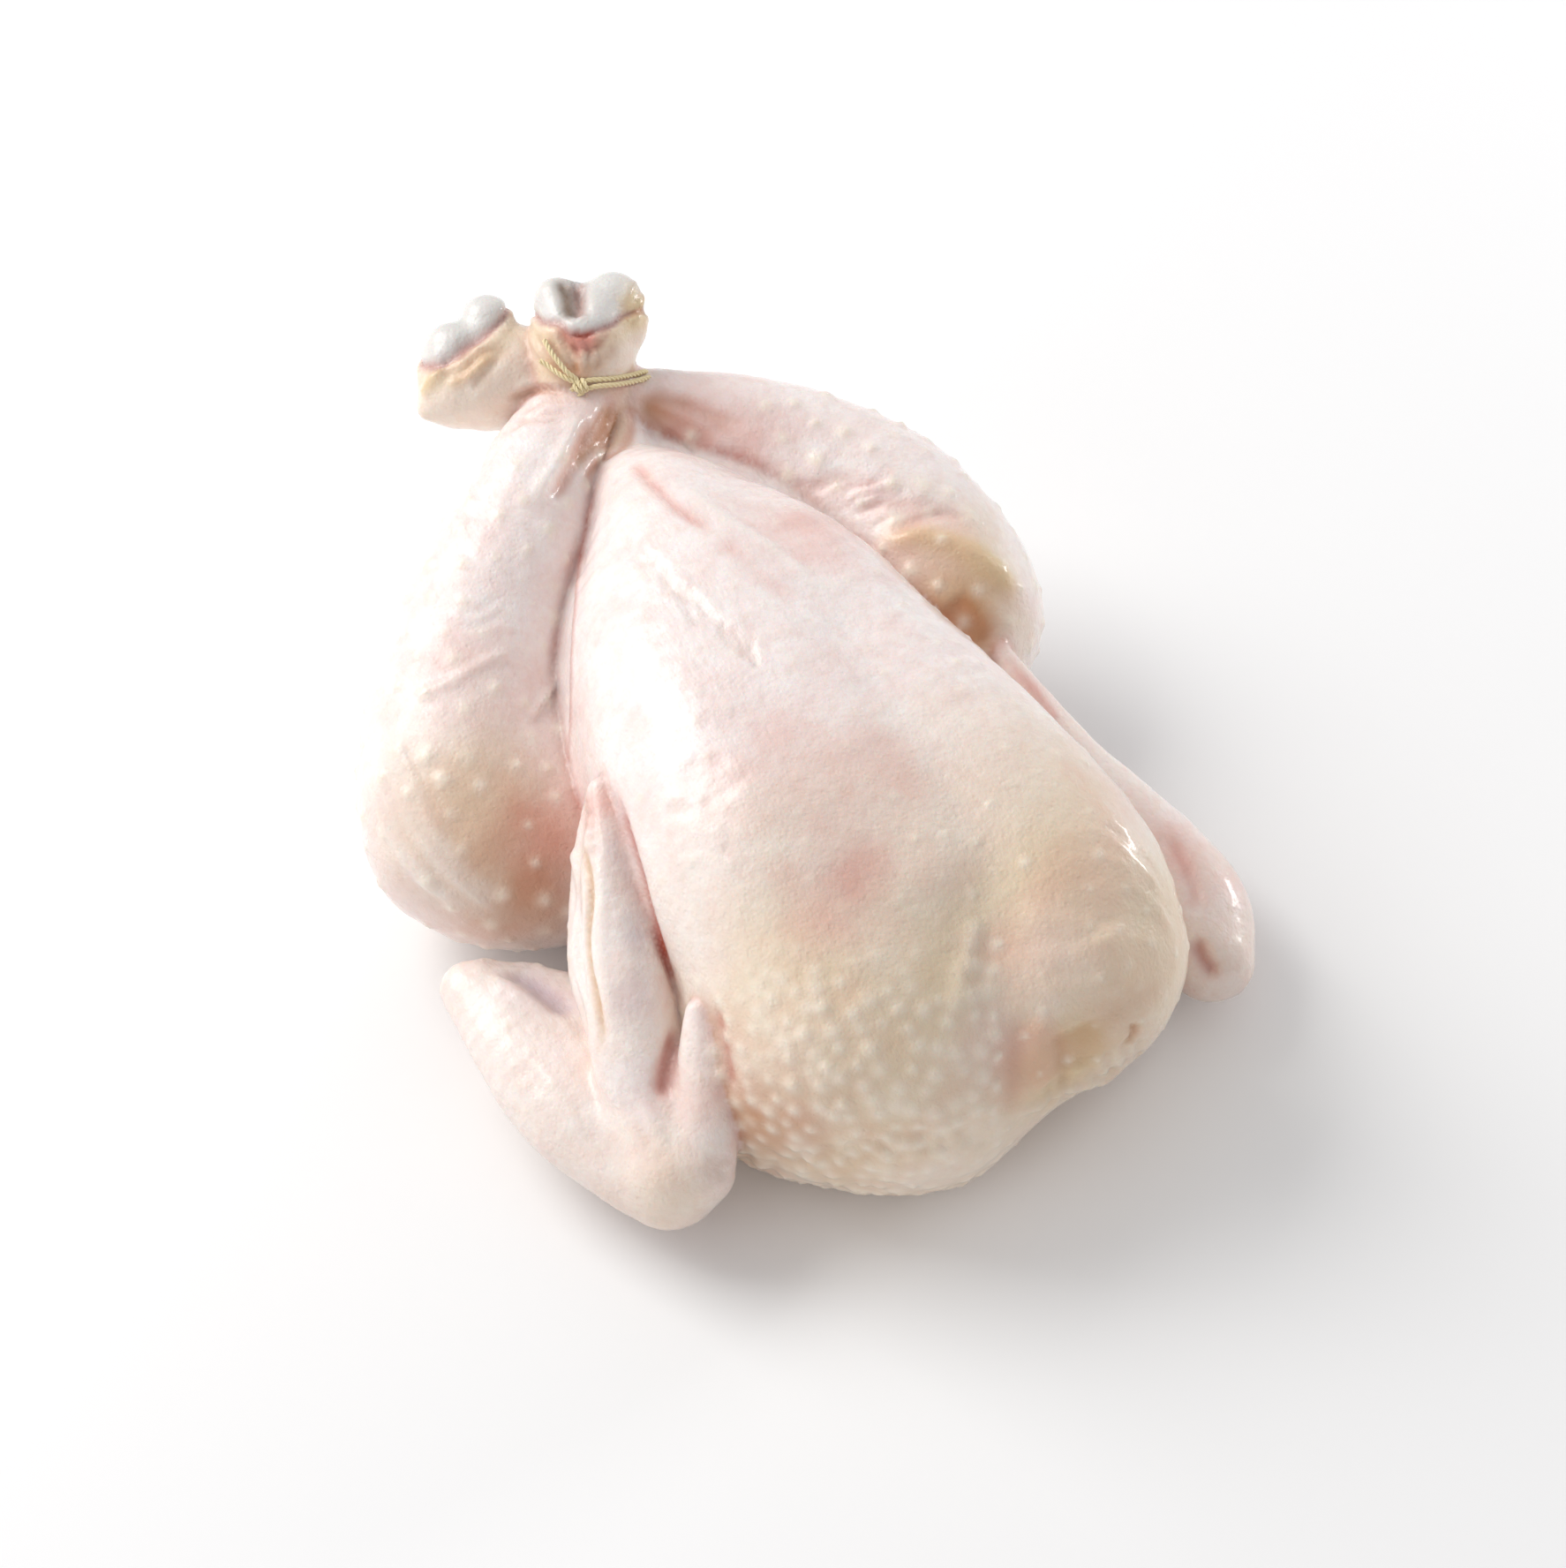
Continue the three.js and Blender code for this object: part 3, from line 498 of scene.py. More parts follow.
# %% Noise and line of sight
NOISE_TURN = np.array([[0.8, 0.36, -0.48], [0, 0.8, 0.6], [0.6, -0.48, 0.64]])
SEED_SHIFT = 11.7
HASH_AXES = (73856093, 19349663, 83492791)
HASH_ROUNDS = ((13, 1274126177), (15, 2246822519))
HASH_TOP = 0x7FFFFFFF
SURE_CLEARANCE = 170
WALKS = 70
TOUCH = 0.03
STRIDE = 0.85
LEAST_STEP = 0.05
SLIDES = 3


def noise(p, size, seed=0):
    """Smooth random hills about `size` millimetres apart, from -1 to 1."""
    q = p @ NOISE_TURN / size + SEED_SHIFT * seed
    low = np.floor(q).astype(np.int64)
    t = q - low
    t = t * t * t * (t * (6 * t - 15) + 10)
    total = np.zeros(len(p))
    for corner in ((i, j, k) for i in (0, 1) for j in (0, 1) for k in (0, 1)):
        mixed = np.bitwise_xor.reduce((low + corner) * np.array(HASH_AXES), axis=1)
        for shift, factor in HASH_ROUNDS:
            mixed = ((mixed ^ (mixed >> shift)) * factor) & HASH_TOP
        weight = np.prod(np.where(corner, t, 1 - t), axis=1)
        total += weight * (mixed / (HASH_TOP // 2) - 1)
    return total


def slope(form, p, step=0.4):
    """The direction in which the distance grows fastest: straight out of the skin."""
    d = np.stack([form(p + step * e) - form(p - step * e) for e in np.eye(3)], 1)
    return d / np.maximum(np.linalg.norm(d, axis=1), 1e-9)[:, None]


def seen(places):
    """Skin under these places of the picture, given in its pixels from the left and the top."""
    places = np.array(places, float)
    ray = (-FOCAL_PX * back + (places[:, :1] - CENTRE_PX[0]) * right + (CENTRE_PX[1] - places[:, 1:2]) * up)
    ray /= np.linalg.norm(ray, axis=1)[:, None]
    t = np.full(len(places), DISTANCE - SURE_CLEARANCE)
    nearest, at = np.full(len(places), np.inf), t.copy()
    for walk in range(WALKS):
        walking = np.flatnonzero(nearest > TOUCH)
        if not len(walking):
            break
        d = in_batches(bird, eye + t[walking, None] * ray[walking], size=500)
        closer = walking[d < nearest[walking]]
        at[closer] = t[closer]
        nearest[walking] = np.minimum(d, nearest[walking])
        t[walking] += STRIDE * np.maximum(d, LEAST_STEP)
    p = eye + at[:, None] * ray
    for slide in range(SLIDES):
        p = p - bird(p)[:, None] * slope(bird, p)
    return p


def picture_place(p):
    """Where in the picture the camera would see these points."""
    away = p - eye
    deep = away @ -back
    return CENTRE_PX[0] + FOCAL_PX * (away @ right) / deep, CENTRE_PX[1] - FOCAL_PX * (away @ up) / deep


print("the picture's middle is skin at", seen([(887, 888)])[0].round(1), "mm")

# %% [markdown]
# ## Which part of the bird is this?
#
# Each skin point belongs to the part whose own surface is nearest. Where the second nearest
# is nearly as close, the point lies in the crease between them: there the skin is damp,
# shaded and pink, and blood gathers. So one number per point says how deep in a crease it is.

# %% Parts and creases
PARTS = {"body": body, "left_leg": left_leg, "right_leg": right_leg, "front_hock": front_hock,
         "back_hock": back_hock, "left_wing": left_wing, "right_wing": right_wing}
CREASE_WIDTH = 1.9
gaps = np.stack([in_batches(form, skin_points) for form in PARTS.values()], 1)
part_of = gaps.argmin(1)
ordered = np.sort(gaps, 1)
crease = np.exp(-((ordered[:, 1] - ordered[:, 0]) / CREASE_WIDTH) ** 2)
is_part = {name: part_of == i for i, name in enumerate(PARTS)}
MASKS = ("blush", "fat", "tan", "red", "pale", "violet", "gristle", "pimple", "shade")
masks = {name: np.zeros(len(skin_points)) for name in MASKS}
relief = np.zeros(len(skin_points))
print({name: int(own.sum()) for name, own in is_part.items()})

# %% [markdown]
# ## Strokes: folds, ridges and wrinkles
#
# A stroke is a line drawn on the skin with a width and a height. A ridge is a soft welt, a
# groove its opposite, and a flap stands up on one side of the line and sinks on the other, as
# the free edge of a fold of skin does. Each can leave a tint, because skin is thicker and
# whiter on a ridge and redder in a groove; a pale tint on a ridge is also a painted highlight,
# and a brown tint in a groove painted shade. Families of wrinkles are drawn once at each end
# and filled in between.

# %% The stroke tools
CHAIN_STEPS = 10
PATH_STEP = 0.5
REACH = 3
EVERY = 6
MARGIN = 2
FACING = 0.1
FADE = 0.22
rng = np.random.default_rng(7)
strokes = []


def stroke(places, width, height, kind="groove", **tints):
    """Plans one stroke through places of the picture; width and height are in millimetres."""
    strokes.append((np.array(places, float), width, height, kind, tints))


def between(first, last, count, width, height, wobble, kind="groove", **tints):
    """Plans `count` strokes that change from the first line to the last, each a little off."""
    first, last = np.array(first, float), np.array(last, float)
    for t in np.linspace(0, 1, count):
        line = first + (last - first) * t + rng.normal(0, wobble, first.shape)
        grow = 0.6 + 0.8 * rng.random()
        stroke(line, width * (0.8 + 0.4 * rng.random()), height * grow, kind, **tints)


def draw_strokes():
    """Finds each stroke's skin and adds its shape to the relief and its tints to the masks."""
    chains = [smooth_chain(places, CHAIN_STEPS) for places, *rest in strokes]
    found = np.split(seen(np.concatenate(chains)), np.cumsum([len(c) for c in chains])[:-1])
    for path, (places, width, height, kind, tints) in zip(found, strokes):
        long = np.concatenate([[0], np.cumsum(np.linalg.norm(np.diff(path, axis=0), axis=1))])
        even = np.linspace(0, long[-1], max(3, int(long[-1] / PATH_STEP)))
        path = np.stack([np.interp(even, long, path[:, i]) for i in range(3)], 1)
        reach = REACH * width
        close = ((skin_points > path.min(0) - reach) & (skin_points < path.max(0) + reach)).all(1)
        index = np.flatnonzero(close)
        rough = skin_points[index][:, None] - path[None, ::EVERY]
        index = index[(rough ** 2).sum(2).min(1) < (reach + MARGIN) ** 2]
        if not len(index):
            continue
        away = skin_points[index][:, None] - path[None]
        k = (away ** 2).sum(2).argmin(1)
        off = away[np.arange(len(index)), k]
        distance = np.linalg.norm(off, axis=1)
        ahead = np.gradient(path, axis=0)[k]
        centre_out = skin_out[index[(away ** 2).sum(2).argmin(0)]][k]
        facing = (centre_out * skin_out[index]).sum(1) > FACING
        side = (np.cross(ahead, centre_out) * off).sum(1) / np.maximum(np.linalg.norm(ahead, axis=1), 1e-9)
        across = distance / width
        ends = np.clip(np.minimum(k, len(path) - 1 - k) / (FADE * len(path)), 0, 1)
        fade = ends * ends * (3 - 2 * ends) * facing
        shape = {"ridge": np.exp(-across ** 2), "groove": -np.exp(-across ** 2),
                 "flap": np.tanh(3 * side / width) * np.exp(-0.5 * across ** 2)}[kind]
        relief[index] += height * shape * fade
        for name, amount in tints.items():
            masks[name][index] += amount * np.exp(-across ** 2) * fade


skin_out = point_normals(skin_points, skin_faces)
print("strokes are drawn on", len(skin_points), "points")

# %% [markdown]
# ## Folds of the legs and the tie
#
# The string pulls the skin of both ankles and of the vent together, so folds fan out from it.
# The left leg carries the free edge of the belly skin as a bright ridge on its inner side, with a
# pale tint that is partly a painted highlight. Brown tints in the folds are painted shade, and a
# painted shadow lies under the edge of the hock sleeve and under the fat fold of the right leg.

# %% Leg folds
stroke([(663, 462), (646, 496), (627, 530), (609, 560), (602, 582)], 1.9, 1.5, "ridge", pale=0.5)
stroke([(668, 474), (656, 505), (640, 545), (624, 570)], 2.2, 1.3, tan=0.4, blush=0.35)
stroke([(634, 765), (624, 785), (612, 805), (600, 820)], 1.2, 1.0, "flap", pale=0.4)
stroke([(712, 448), (715, 480), (709, 505), (690, 520), (672, 528), (656, 560)], 1.3, 0.3, tan=0.5, blush=0.3)
stroke([(702, 455), (704, 485), (696, 508), (676, 522)], 2.4, 0.9, "ridge", fat=0.6, tan=0.15)
between([(690, 452), (678, 478), (664, 505), (654, 540)], [(701, 452), (698, 480), (684, 500), (668, 516)],
        4, 1.1, 0.7, 2.0, tan=0.35)
stroke([(688, 524), (670, 575), (657, 640), (650, 720), (647, 800), (642, 890)], 1.1, 0.5, "ridge", red=0.55)
between([(722, 436), (790, 458), (850, 490)], [(718, 455), (760, 490), (800, 514)], 7, 1.3, 0.9, 2.5,
        tan=0.2, blush=0.08)
# Painted shadow under the edge of the hock sleeve, and a painted highlight on the edge itself.
stroke([(575, 460), (590, 447), (614, 441), (650, 445)], 1.5, 1.3, tan=0.6)
stroke([(578, 449), (594, 439), (616, 434), (648, 437)], 1.6, 1.1, "ridge", pale=0.25)
between([(588, 470), (625, 456), (650, 460)], [(575, 492), (600, 478), (640, 480)], 3, 1.2, 0.7, 1.5, tan=0.2)
between([(520, 660), (545, 668), (570, 660)], [(500, 700), (540, 712), (575, 690)], 3, 1.0, 0.35, 3.0)
stroke([(470, 790), (510, 772), (553, 748), (590, 738)], 1.6, 0.8, "ridge")
between([(414, 850), (430, 930), (470, 990), (540, 1040)], [(440, 800), (470, 900), (520, 975),
        (590, 1050)], 7, 1.5, 0.5, 3.0, "ridge", pale=0.2)
between([(900, 555), (925, 545), (965, 528)], [(1010, 612), (1050, 592), (1100, 582)], 13, 1.1, 0.75, 2.5,
        blush=0.2)
stroke([(985, 618), (1040, 608), (1100, 628), (1160, 680)], 3.6, 2.4, "ridge", fat=0.7)
# Painted shadow: a brown band under the fat fold.
stroke([(1072, 676), (1098, 702), (1128, 735)], 4.0, 1.6, tan=0.6, blush=0.2)
print(len(strokes), "strokes planned")

# %% [markdown]
# ## Breast wrinkles and the keel
#
# The breast skin is stretched smooth, but loose skin slides on it in small puckers on the left
# lobe, with painted shade in their grooves and a painted highlight on their ridges. The keel
# bone shows as a pale line, partly a painted highlight, with a pink dip beside it, and the
# wishbone as a thin ridge near the neck, with a pale tint that is partly a painted highlight.

# %% Breast folds
# Puckers: painted shade in the grooves, a painted highlight on the ridges.
between([(722, 612), (728, 628), (736, 644)], [(846, 722), (854, 742), (862, 762)], 10, 1.0, 0.5, 4.0,
        tan=0.1)
between([(730, 606), (738, 622), (746, 638)], [(856, 716), (864, 736), (872, 752)], 10, 1.0, 0.3, 4.0,
        "ridge", pale=0.15)
between([(700, 602), (706, 616), (714, 630)], [(792, 690), (800, 708), (808, 722)], 7, 1.0, 0.45, 4.0,
        tan=0.08)
stroke([(715, 520), (742, 550), (775, 580), (812, 604)], 1.7, 0.7, blush=0.6)
stroke([(812, 604), (850, 640), (905, 690)], 3.0, 0.4, blush=0.25)
# Painted highlight along the keel ridge.
stroke([(770, 545), (812, 580), (880, 625), (940, 680)], 2.0, 0.8, "ridge", pale=0.6)
between([(770, 881), (794, 867), (826, 862)], [(790, 915), (822, 898), (858, 876)], 4, 1.6, 0.35, 3.0,
        blush=0.1)
between([(740, 910), (770, 905), (800, 910)], [(760, 980), (800, 970), (840, 980)], 5, 1.8, 0.3, 5.0, "ridge")
stroke([(1104, 1034), (1098, 1075), (1086, 1120), (1075, 1155)], 2.6, 1.0, "ridge", pale=0.3, fat=0.2)
stroke([(1112, 1030), (1124, 1080), (1132, 1150), (1140, 1250)], 6.5, 1.3, blush=0.12)
# Brown in the folds and the recess of the neck skin is painted shade.
stroke([(1168, 1140), (1156, 1175), (1150, 1225), (1142, 1268)], 2.8, 1.1, blush=0.12, tan=0.15)
stroke([(1162, 1150), (1180, 1175), (1184, 1205), (1175, 1240)], 4.5, 0.9, "ridge", blush=0.15)
stroke([(1190, 1160), (1202, 1190), (1206, 1236)], 2.0, 0.8, tan=0.3)
stroke([(1215, 1160), (1222, 1185), (1216, 1215)], 6.5, 1.3, tan=0.3, fat=0.3)
between([(1150, 1040), (1200, 1030), (1260, 1050)], [(1160, 1130), (1220, 1120), (1290, 1140)], 6, 3.0,
        0.45, 9.0, "ridge")
stroke([(1142, 1266), (1170, 1254), (1203, 1236), (1222, 1232), (1241, 1227), (1262, 1221), (1283, 1212)],
       1.3, 1.3, "ridge", pale=0.3)
between([(1190, 1255), (1186, 1238), (1188, 1220)], [(1300, 1205), (1292, 1190), (1290, 1172)], 7, 1.4, 0.8,
        3.0, tan=0.15)
between([(800, 1338), (804, 1322), (810, 1306)], [(1120, 1300), (1112, 1286), (1100, 1272)], 15, 1.6, 0.9,
        4.0, tan=0.08)
stroke([(1240, 1050), (1262, 1090), (1262, 1130)], 6.0, 1.0, "ridge")
stroke([(1284, 1158), (1287, 1172), (1277, 1188)], 1.2, 1.2, red=0.4, fat=0.5)
between([(1225, 905), (1265, 930), (1310, 985)], [(1260, 960), (1290, 1010), (1325, 1060)], 7, 1.8, 0.45,
        5.0, "ridge")
stroke([(1352, 1060), (1362, 1085), (1380, 1108)], 2.2, 1.8, red=0.6)
stroke([(1318, 940), (1345, 985), (1362, 1040)], 2.5, 1.2, blush=0.4)
stroke([(1130, 735), (1165, 775), (1200, 820)], 1.5, 0.5, "ridge", blush=0.5)
print(len(strokes), "strokes planned")

# %% [markdown]
# ## Wing folds
#
# The hand of the left wing has a seam where its skin edge is tucked beside the bone, with bits
# of quill follicles left in it, and a raw pink groove between hand and thumb. The web between
# the elbow and the body carries painted shade, and the folds of the hock sleeves brown painted
# shade.

# %% Wing and hock folds
SEAM = [(656, 950), (667, 990), (669, 1022), (665, 1060), (668, 1095), (677, 1136), (683, 1172), (676, 1195)]
stroke(SEAM, 1.1, 1.2, red=0.15, fat=0.7, tan=0.25)
stroke([(x - 12, y) for x, y in SEAM[:-1]], 1.6, 0.8, "ridge", pale=0.3)
stroke([(x + 14, y) for x, y in SEAM[:-1]], 2.0, 0.6, "ridge", pale=0.3)
between([(655, 905), (664, 908), (672, 906)], [(664, 960), (672, 962), (682, 960)], 5, 1.0, 0.5, 1.0, red=0.2)
stroke([(700, 930), (712, 1000), (728, 1080), (738, 1150)], 2.6, 0.4, violet=0.1)
stroke([(768, 1165), (758, 1195), (752, 1225), (750, 1250)], 2.0, 1.6, red=0.5, blush=0.4)
stroke([(694, 886), (716, 959), (741, 1043), (760, 1105), (772, 1150)], 1.2, 0.9, red=0.7)
stroke([(806, 1136), (816, 1160), (824, 1195), (830, 1240)], 1.8, 0.5, red=0.6)
stroke([(551, 1101), (605, 1137), (660, 1174)], 2.2, 0.8, "ridge")
# Painted shade on the web between the elbow and the body.
stroke([(570, 1096), (605, 1112), (636, 1140), (650, 1158)], 3.6, 1.6, violet=0.5)
stroke([(532, 1089), (570, 1086), (600, 1088), (622, 1102)], 1.2, 0.8, "ridge", pale=0.4)
between([(530, 1150), (580, 1230), (640, 1300)], [(620, 1160), (680, 1230), (730, 1300)], 6, 1.6, 0.3, 6.0,
        "ridge")
between([(690, 1240), (720, 1275), (735, 1310)], [(740, 1240), (752, 1275), (760, 1310)], 3, 1.5, 0.4, 4.0)
stroke([(655, 314), (655, 330), (656, 345), (656, 366)], 1.9, 4.0, red=0.5, shade=0.3)
stroke([(634, 316), (640, 332), (642, 350), (650, 364)], 1.8, 1.4, shade=0.9)
stroke([(640, 322), (650, 325), (664, 322)], 1.3, 1.8, "ridge", blush=0.8)
stroke([(652, 340), (658, 352), (662, 366)], 0.9, 1.4, "ridge", pale=0.6)
stroke([(630, 372), (646, 390), (660, 408)], 1.0, 0.9, red=0.55)
stroke([(692, 372), (678, 390), (662, 408)], 1.0, 0.8, red=0.35)
stroke([(662, 374), (661, 388), (661, 400)], 3.0, 0.9, blush=0.7)
stroke([(646, 374), (660, 380), (676, 374)], 0.8, 0.5, red=0.5)
stroke([(706, 350), (712, 330), (720, 318)], 1.2, 0.8, "ridge", fat=0.3)
stroke([(716, 372), (722, 350), (726, 330)], 1.3, 0.9, "ridge", fat=0.3)
# Brown in the folds of the hock sleeves is painted shade.
between([(590, 375), (606, 405), (644, 432)], [(694, 385), (692, 405), (672, 430)], 8, 1.2, 1.0, 1.5, tan=0.3)
between([(575, 392), (556, 415), (530, 446)], [(545, 372), (515, 398), (484, 430)], 5, 1.3, 1.0, 2.0, tan=0.3)
stroke([(502, 410), (490, 430), (476, 452)], 1.6, 1.2, "ridge", fat=0.3)
stroke([(562, 398), (535, 420), (504, 440)], 1.6, 1.2, "ridge", fat=0.3)
draw_strokes()
print(len(strokes), "strokes drawn, relief from", relief.min().round(1), "to", relief.max().round(1), "mm")

# %% [markdown]
# ## Goose bumps
#
# Every feather left a follicle: a small firm bump with a pale top. They stand 4 mm apart on the
# neck lobe, nearly 8 mm apart on the legs, and are only fine dots on the breast. They are
# scattered so that no two are closer than that, as in real feather tracts.

# %% Follicles
STRAY = 0.3
SKIRT = 2.2
SAME_SIDE = 0.3
PALE_TOP = 0.7
FULL_HEIGHT = 0.5
NECK_ROW = 1040
NECK_EDGE = 1130
NECK_SLANT = 0.12
NECK_GROWTH = 90
TIE_Y = 88
BACK_Z = 20


def ramp(value, start, end):
    """Rises evenly from 0 at start to 1 at end."""
    return np.clip((value - start) / (end - start), 0, 1)


tree_of_points = kdtree.KDTree(len(skin_points))
for number_of, point in enumerate(skin_points):
    tree_of_points.insert(point, number_of)
tree_of_points.balance()


def bumps(where, spacing, radius, height, seed, share=0.85, strength=None):
    """Raises follicles on the skin where `where` is true, at least `spacing` apart."""
    dice = np.random.default_rng(seed)
    taken = ~where
    kept = []
    for i in dice.permutation(np.flatnonzero(where)):
        if not taken[i]:
            kept.append(i)
            for spot, j, away in tree_of_points.find_range(skin_points[i], spacing):
                taken[j] = True
    for i in kept:
        if dice.random() > share:
            continue
        wide = radius * (0.75 + 0.5 * dice.random())
        high = height * (0.5 + dice.random()) * (1 if strength is None else strength[i])
        centre = skin_points[i] + dice.normal(0, STRAY, 3)
        for spot, j, away in tree_of_points.find_range(centre, SKIRT * wide):
            if skin_out[i] @ skin_out[j] > SAME_SIDE:
                swell = math.exp(-(away / wide) ** 2)
                relief[j] += high * swell
                masks["pimple"][j] += PALE_TOP * swell * min(1, high / FULL_HEIGHT)
    return len(kept)


x, y, z = skin_points.T
on_body, on_legs = is_part["body"], is_part["left_leg"] | is_part["right_leg"]
on_wings = is_part["left_wing"] | is_part["right_wing"]
u, v = picture_place(skin_points)
row = v + NECK_SLANT * (u - 900)
neck_side = on_body & (row > NECK_ROW) & (u < NECK_EDGE) & (y < -30) & (z > 4)
rise = ramp(row, NECK_ROW + 10, NECK_ROW + 10 + NECK_GROWTH) * (0.75 + 0.5 * noise(skin_points, 12, 3))
legs_below_tie = on_legs & (crease < 0.5) & (y < TIE_Y)
breast_side = on_body & ~neck_side & (z > BACK_Z)
print(bumps(neck_side, 4.1, 1.75, 0.85, 1, 0.95, rise), "on the neck lobe")
print(bumps(breast_side, 7.0, 1.0, 0.22, 2, 0.7, 1 + (u > 1000)), "fine ones on the breast")
print(bumps(legs_below_tie, 7.6, 1.6, 0.65, 3), "on the legs")
print(bumps(on_wings, 5.5, 0.9, 0.16, 4, 0.7), "on the wings")
print(bumps(on_body & (z <= BACK_Z) & (z > 1.5), 5.5, 1.2, 0.4, 5), "on the back")

# %% [markdown]
# ## Colour masks
#
# Colour follows what lies under the skin: pink where muscle shows through, yellow over fat,
# grey-blue over cartilage, red in creases. Brown in deep folds, under folds and low down is
# painted shade. Each is a soft spot or a soft band, made uneven by noise. A spot stays on the
# part of the bird that it was put on.

# %% Tints
SPOTS = {
    "blush": [(962, 995, 11, 0.5), (930, 1045, 8, 0.25), (870, 830, 14, 0.22), (1000, 870, 12, 0.25),
              (850, 470, 14, 0.2), (780, 455, 9, 0.15), (840, 515, 8, 0.35), (930, 590, 14, 0.25),
              (1150, 1200, 12, 0.2), (675, 905, 6, 0.6), (1165, 770, 12, 0.2), (1340, 960, 12, 0.25),
              (616, 950, 12, 0.4), (770, 490, 8, 0.3), (662, 382, 4, 0.4), (650, 375, 5, 0.5)],
    # The brown spots are painted shade and painted shadow: under the left leg, by the vent and the knot,
    # under the fat fold of the right leg, low on the neck lobe and in its recess.
    "tan": [(618, 940, 10, 0.3), (612, 1000, 12, 0.45), (545, 940, 26, 0.42), (585, 1045, 12, 0.3),
            (690, 490, 9, 0.5), (745, 470, 7, 0.5), (655, 428, 4, 0.5), (1090, 705, 9, 0.5),
            (1080, 672, 12, 0.35), (862, 1270, 15, 0.85), (1262, 1150, 10, 0.4)],
    "fat": [(545, 930, 26, 0.4), (1215, 1190, 10, 0.4), (716, 345, 5, 0.6), (620, 420, 7, 0.4),
            (1090, 680, 18, 0.9), (520, 900, 20, 0.2), (760, 1350, 14, 0.3)],
    "gristle": [(719, 345, 4.0, -1.6)],
    "pale": [(560, 1130, 16, 0.3)],
    "violet": [(600, 1120, 8, 0.2), (720, 1060, 5, 0.25), (718, 1130, 5, 0.25), (690, 960, 5, 0.25)],
}
RAGGED = 0.35
spots = [(mask, *spot) for mask, places in SPOTS.items() for spot in places]
centres = seen([spot[1:3] for spot in spots])
for centre, (mask, across, down, radius, amount) in zip(centres, spots):
    away = np.linalg.norm(skin_points - centre, axis=1)
    near = np.flatnonzero(away < REACH * radius)
    ragged = radius * (1 + RAGGED * noise(skin_points[near], radius * 0.6, 5))
    same_part = part_of[near] == part_of[away.argmin()]
    masks[mask][near] += amount * np.exp(-(away[near] / ragged) ** 2) * same_part
neck_tone = ramp(-y, 20, 80) * on_body
masks["fat"] += 0.8 * neck_tone * (0.8 + 0.3 * noise(skin_points, 18, 6))
masks["fat"] += 0.2 * on_wings * (0.6 + 0.5 * noise(skin_points, 12, 7))
masks["blush"] += 0.24 * np.clip(noise(skin_points, 26, 8), 0, 1) + 0.1 * noise(skin_points, 7, 9)
# Painted shade: the skin is browner low down, near the table.
masks["tan"] += 0.36 * np.exp(-((z - 4) / 15) ** 2)
masks["red"] += 0.55 * crease * ramp(noise(skin_points, 9, 10), -1.1, 0.9)
# Painted shade: creases between parts are browner.
masks["tan"] += 0.15 * crease
masks["fat"] += 0.4 * (is_part["front_hock"] | is_part["back_hock"])
RIMS = {"front_hock": ([(601, 356), (625, 366), (655, 381), (690, 371), (712, 355)], (0.25, 0.6, 0.76)),
        "back_hock": ([(560, 372), (530, 392), (505, 412)], (-0.25, 0.5, 0.83))}
RIM_REACH = 5


def band(distance, centre, width):
    """A soft band: 1 at the centre, fading out over the width."""
    return np.exp(-((distance - centre) / width) ** 2)


for name, (places, axis) in RIMS.items():
    rim = seen(places)
    level_of_rim = (rim - rim.mean(0)) @ axis
    weight = np.exp(-(np.linalg.norm(skin_points[:, None] - rim[None], axis=2) / RIM_REACH) ** 2)
    beyond = (skin_points - rim.mean(0)) @ axis - weight @ level_of_rim / (weight.sum(1) + 0.05)
    beyond += 0.5 * noise(skin_points, 5, 14)
    own = is_part[name]
    bare = own * ramp(beyond, -0.4, 0.4)
    masks["gristle"] += bare
    masks["red"] += 0.6 * own * band(beyond, 0.3, 0.8)
    masks["fat"] += 0.3 * own * band(beyond, -2.5, 2.5)
    relief += 0.4 * bare - 1.2 * own * band(beyond, 0.4, 0.8) + 0.6 * own * band(beyond, -1.2, 1.2)
print({name: float(mask.max().round(2)) for name, mask in masks.items()})

# %% [markdown]
# ## The kitchen string
#
# Butcher's string is cotton, two or three plies twisted together, about 1.4 mm thick and cream
# coloured. It goes twice round both ankles, and a knot with two short ends sits in front. A plane
# cuts the ankles, and in it each turn is drawn tight round them like a rubber band. In front,
# where the camera sees it, the turn is laid on the skin along a line of the picture.

# %% Path of the string
STRING_RADIUS = 0.7
FRONT = [(630, 440), (644, 435), (656, 433), (668, 433), (682, 432), (696, 431), (712, 429), (728, 427),
         (738, 424)]
KNOT_PLACE = 2
SHRINK_STEPS = 48
SHRINK = 0.2
LEAST_RADIUS = 4
PULLS = 200
TIE_CENTRE = np.array([-1, 104.5, 78.5])
TIE_NORMAL = np.array([-0.12, 0.83, 0.54]) / np.linalg.norm([-0.12, 0.83, 0.54])
TIE_REACH = 13.5
TURN_APART = 1.8
TURN_POINTS = 36
STRING_LIFT = 0.6
EASE_ROUNDS = 3
KNOT_SIZE = 1.9
ENDS = [((-0.27, 0.82, 0.5), 14.5), ((-0.57, 0.75, 0.33), 12)]


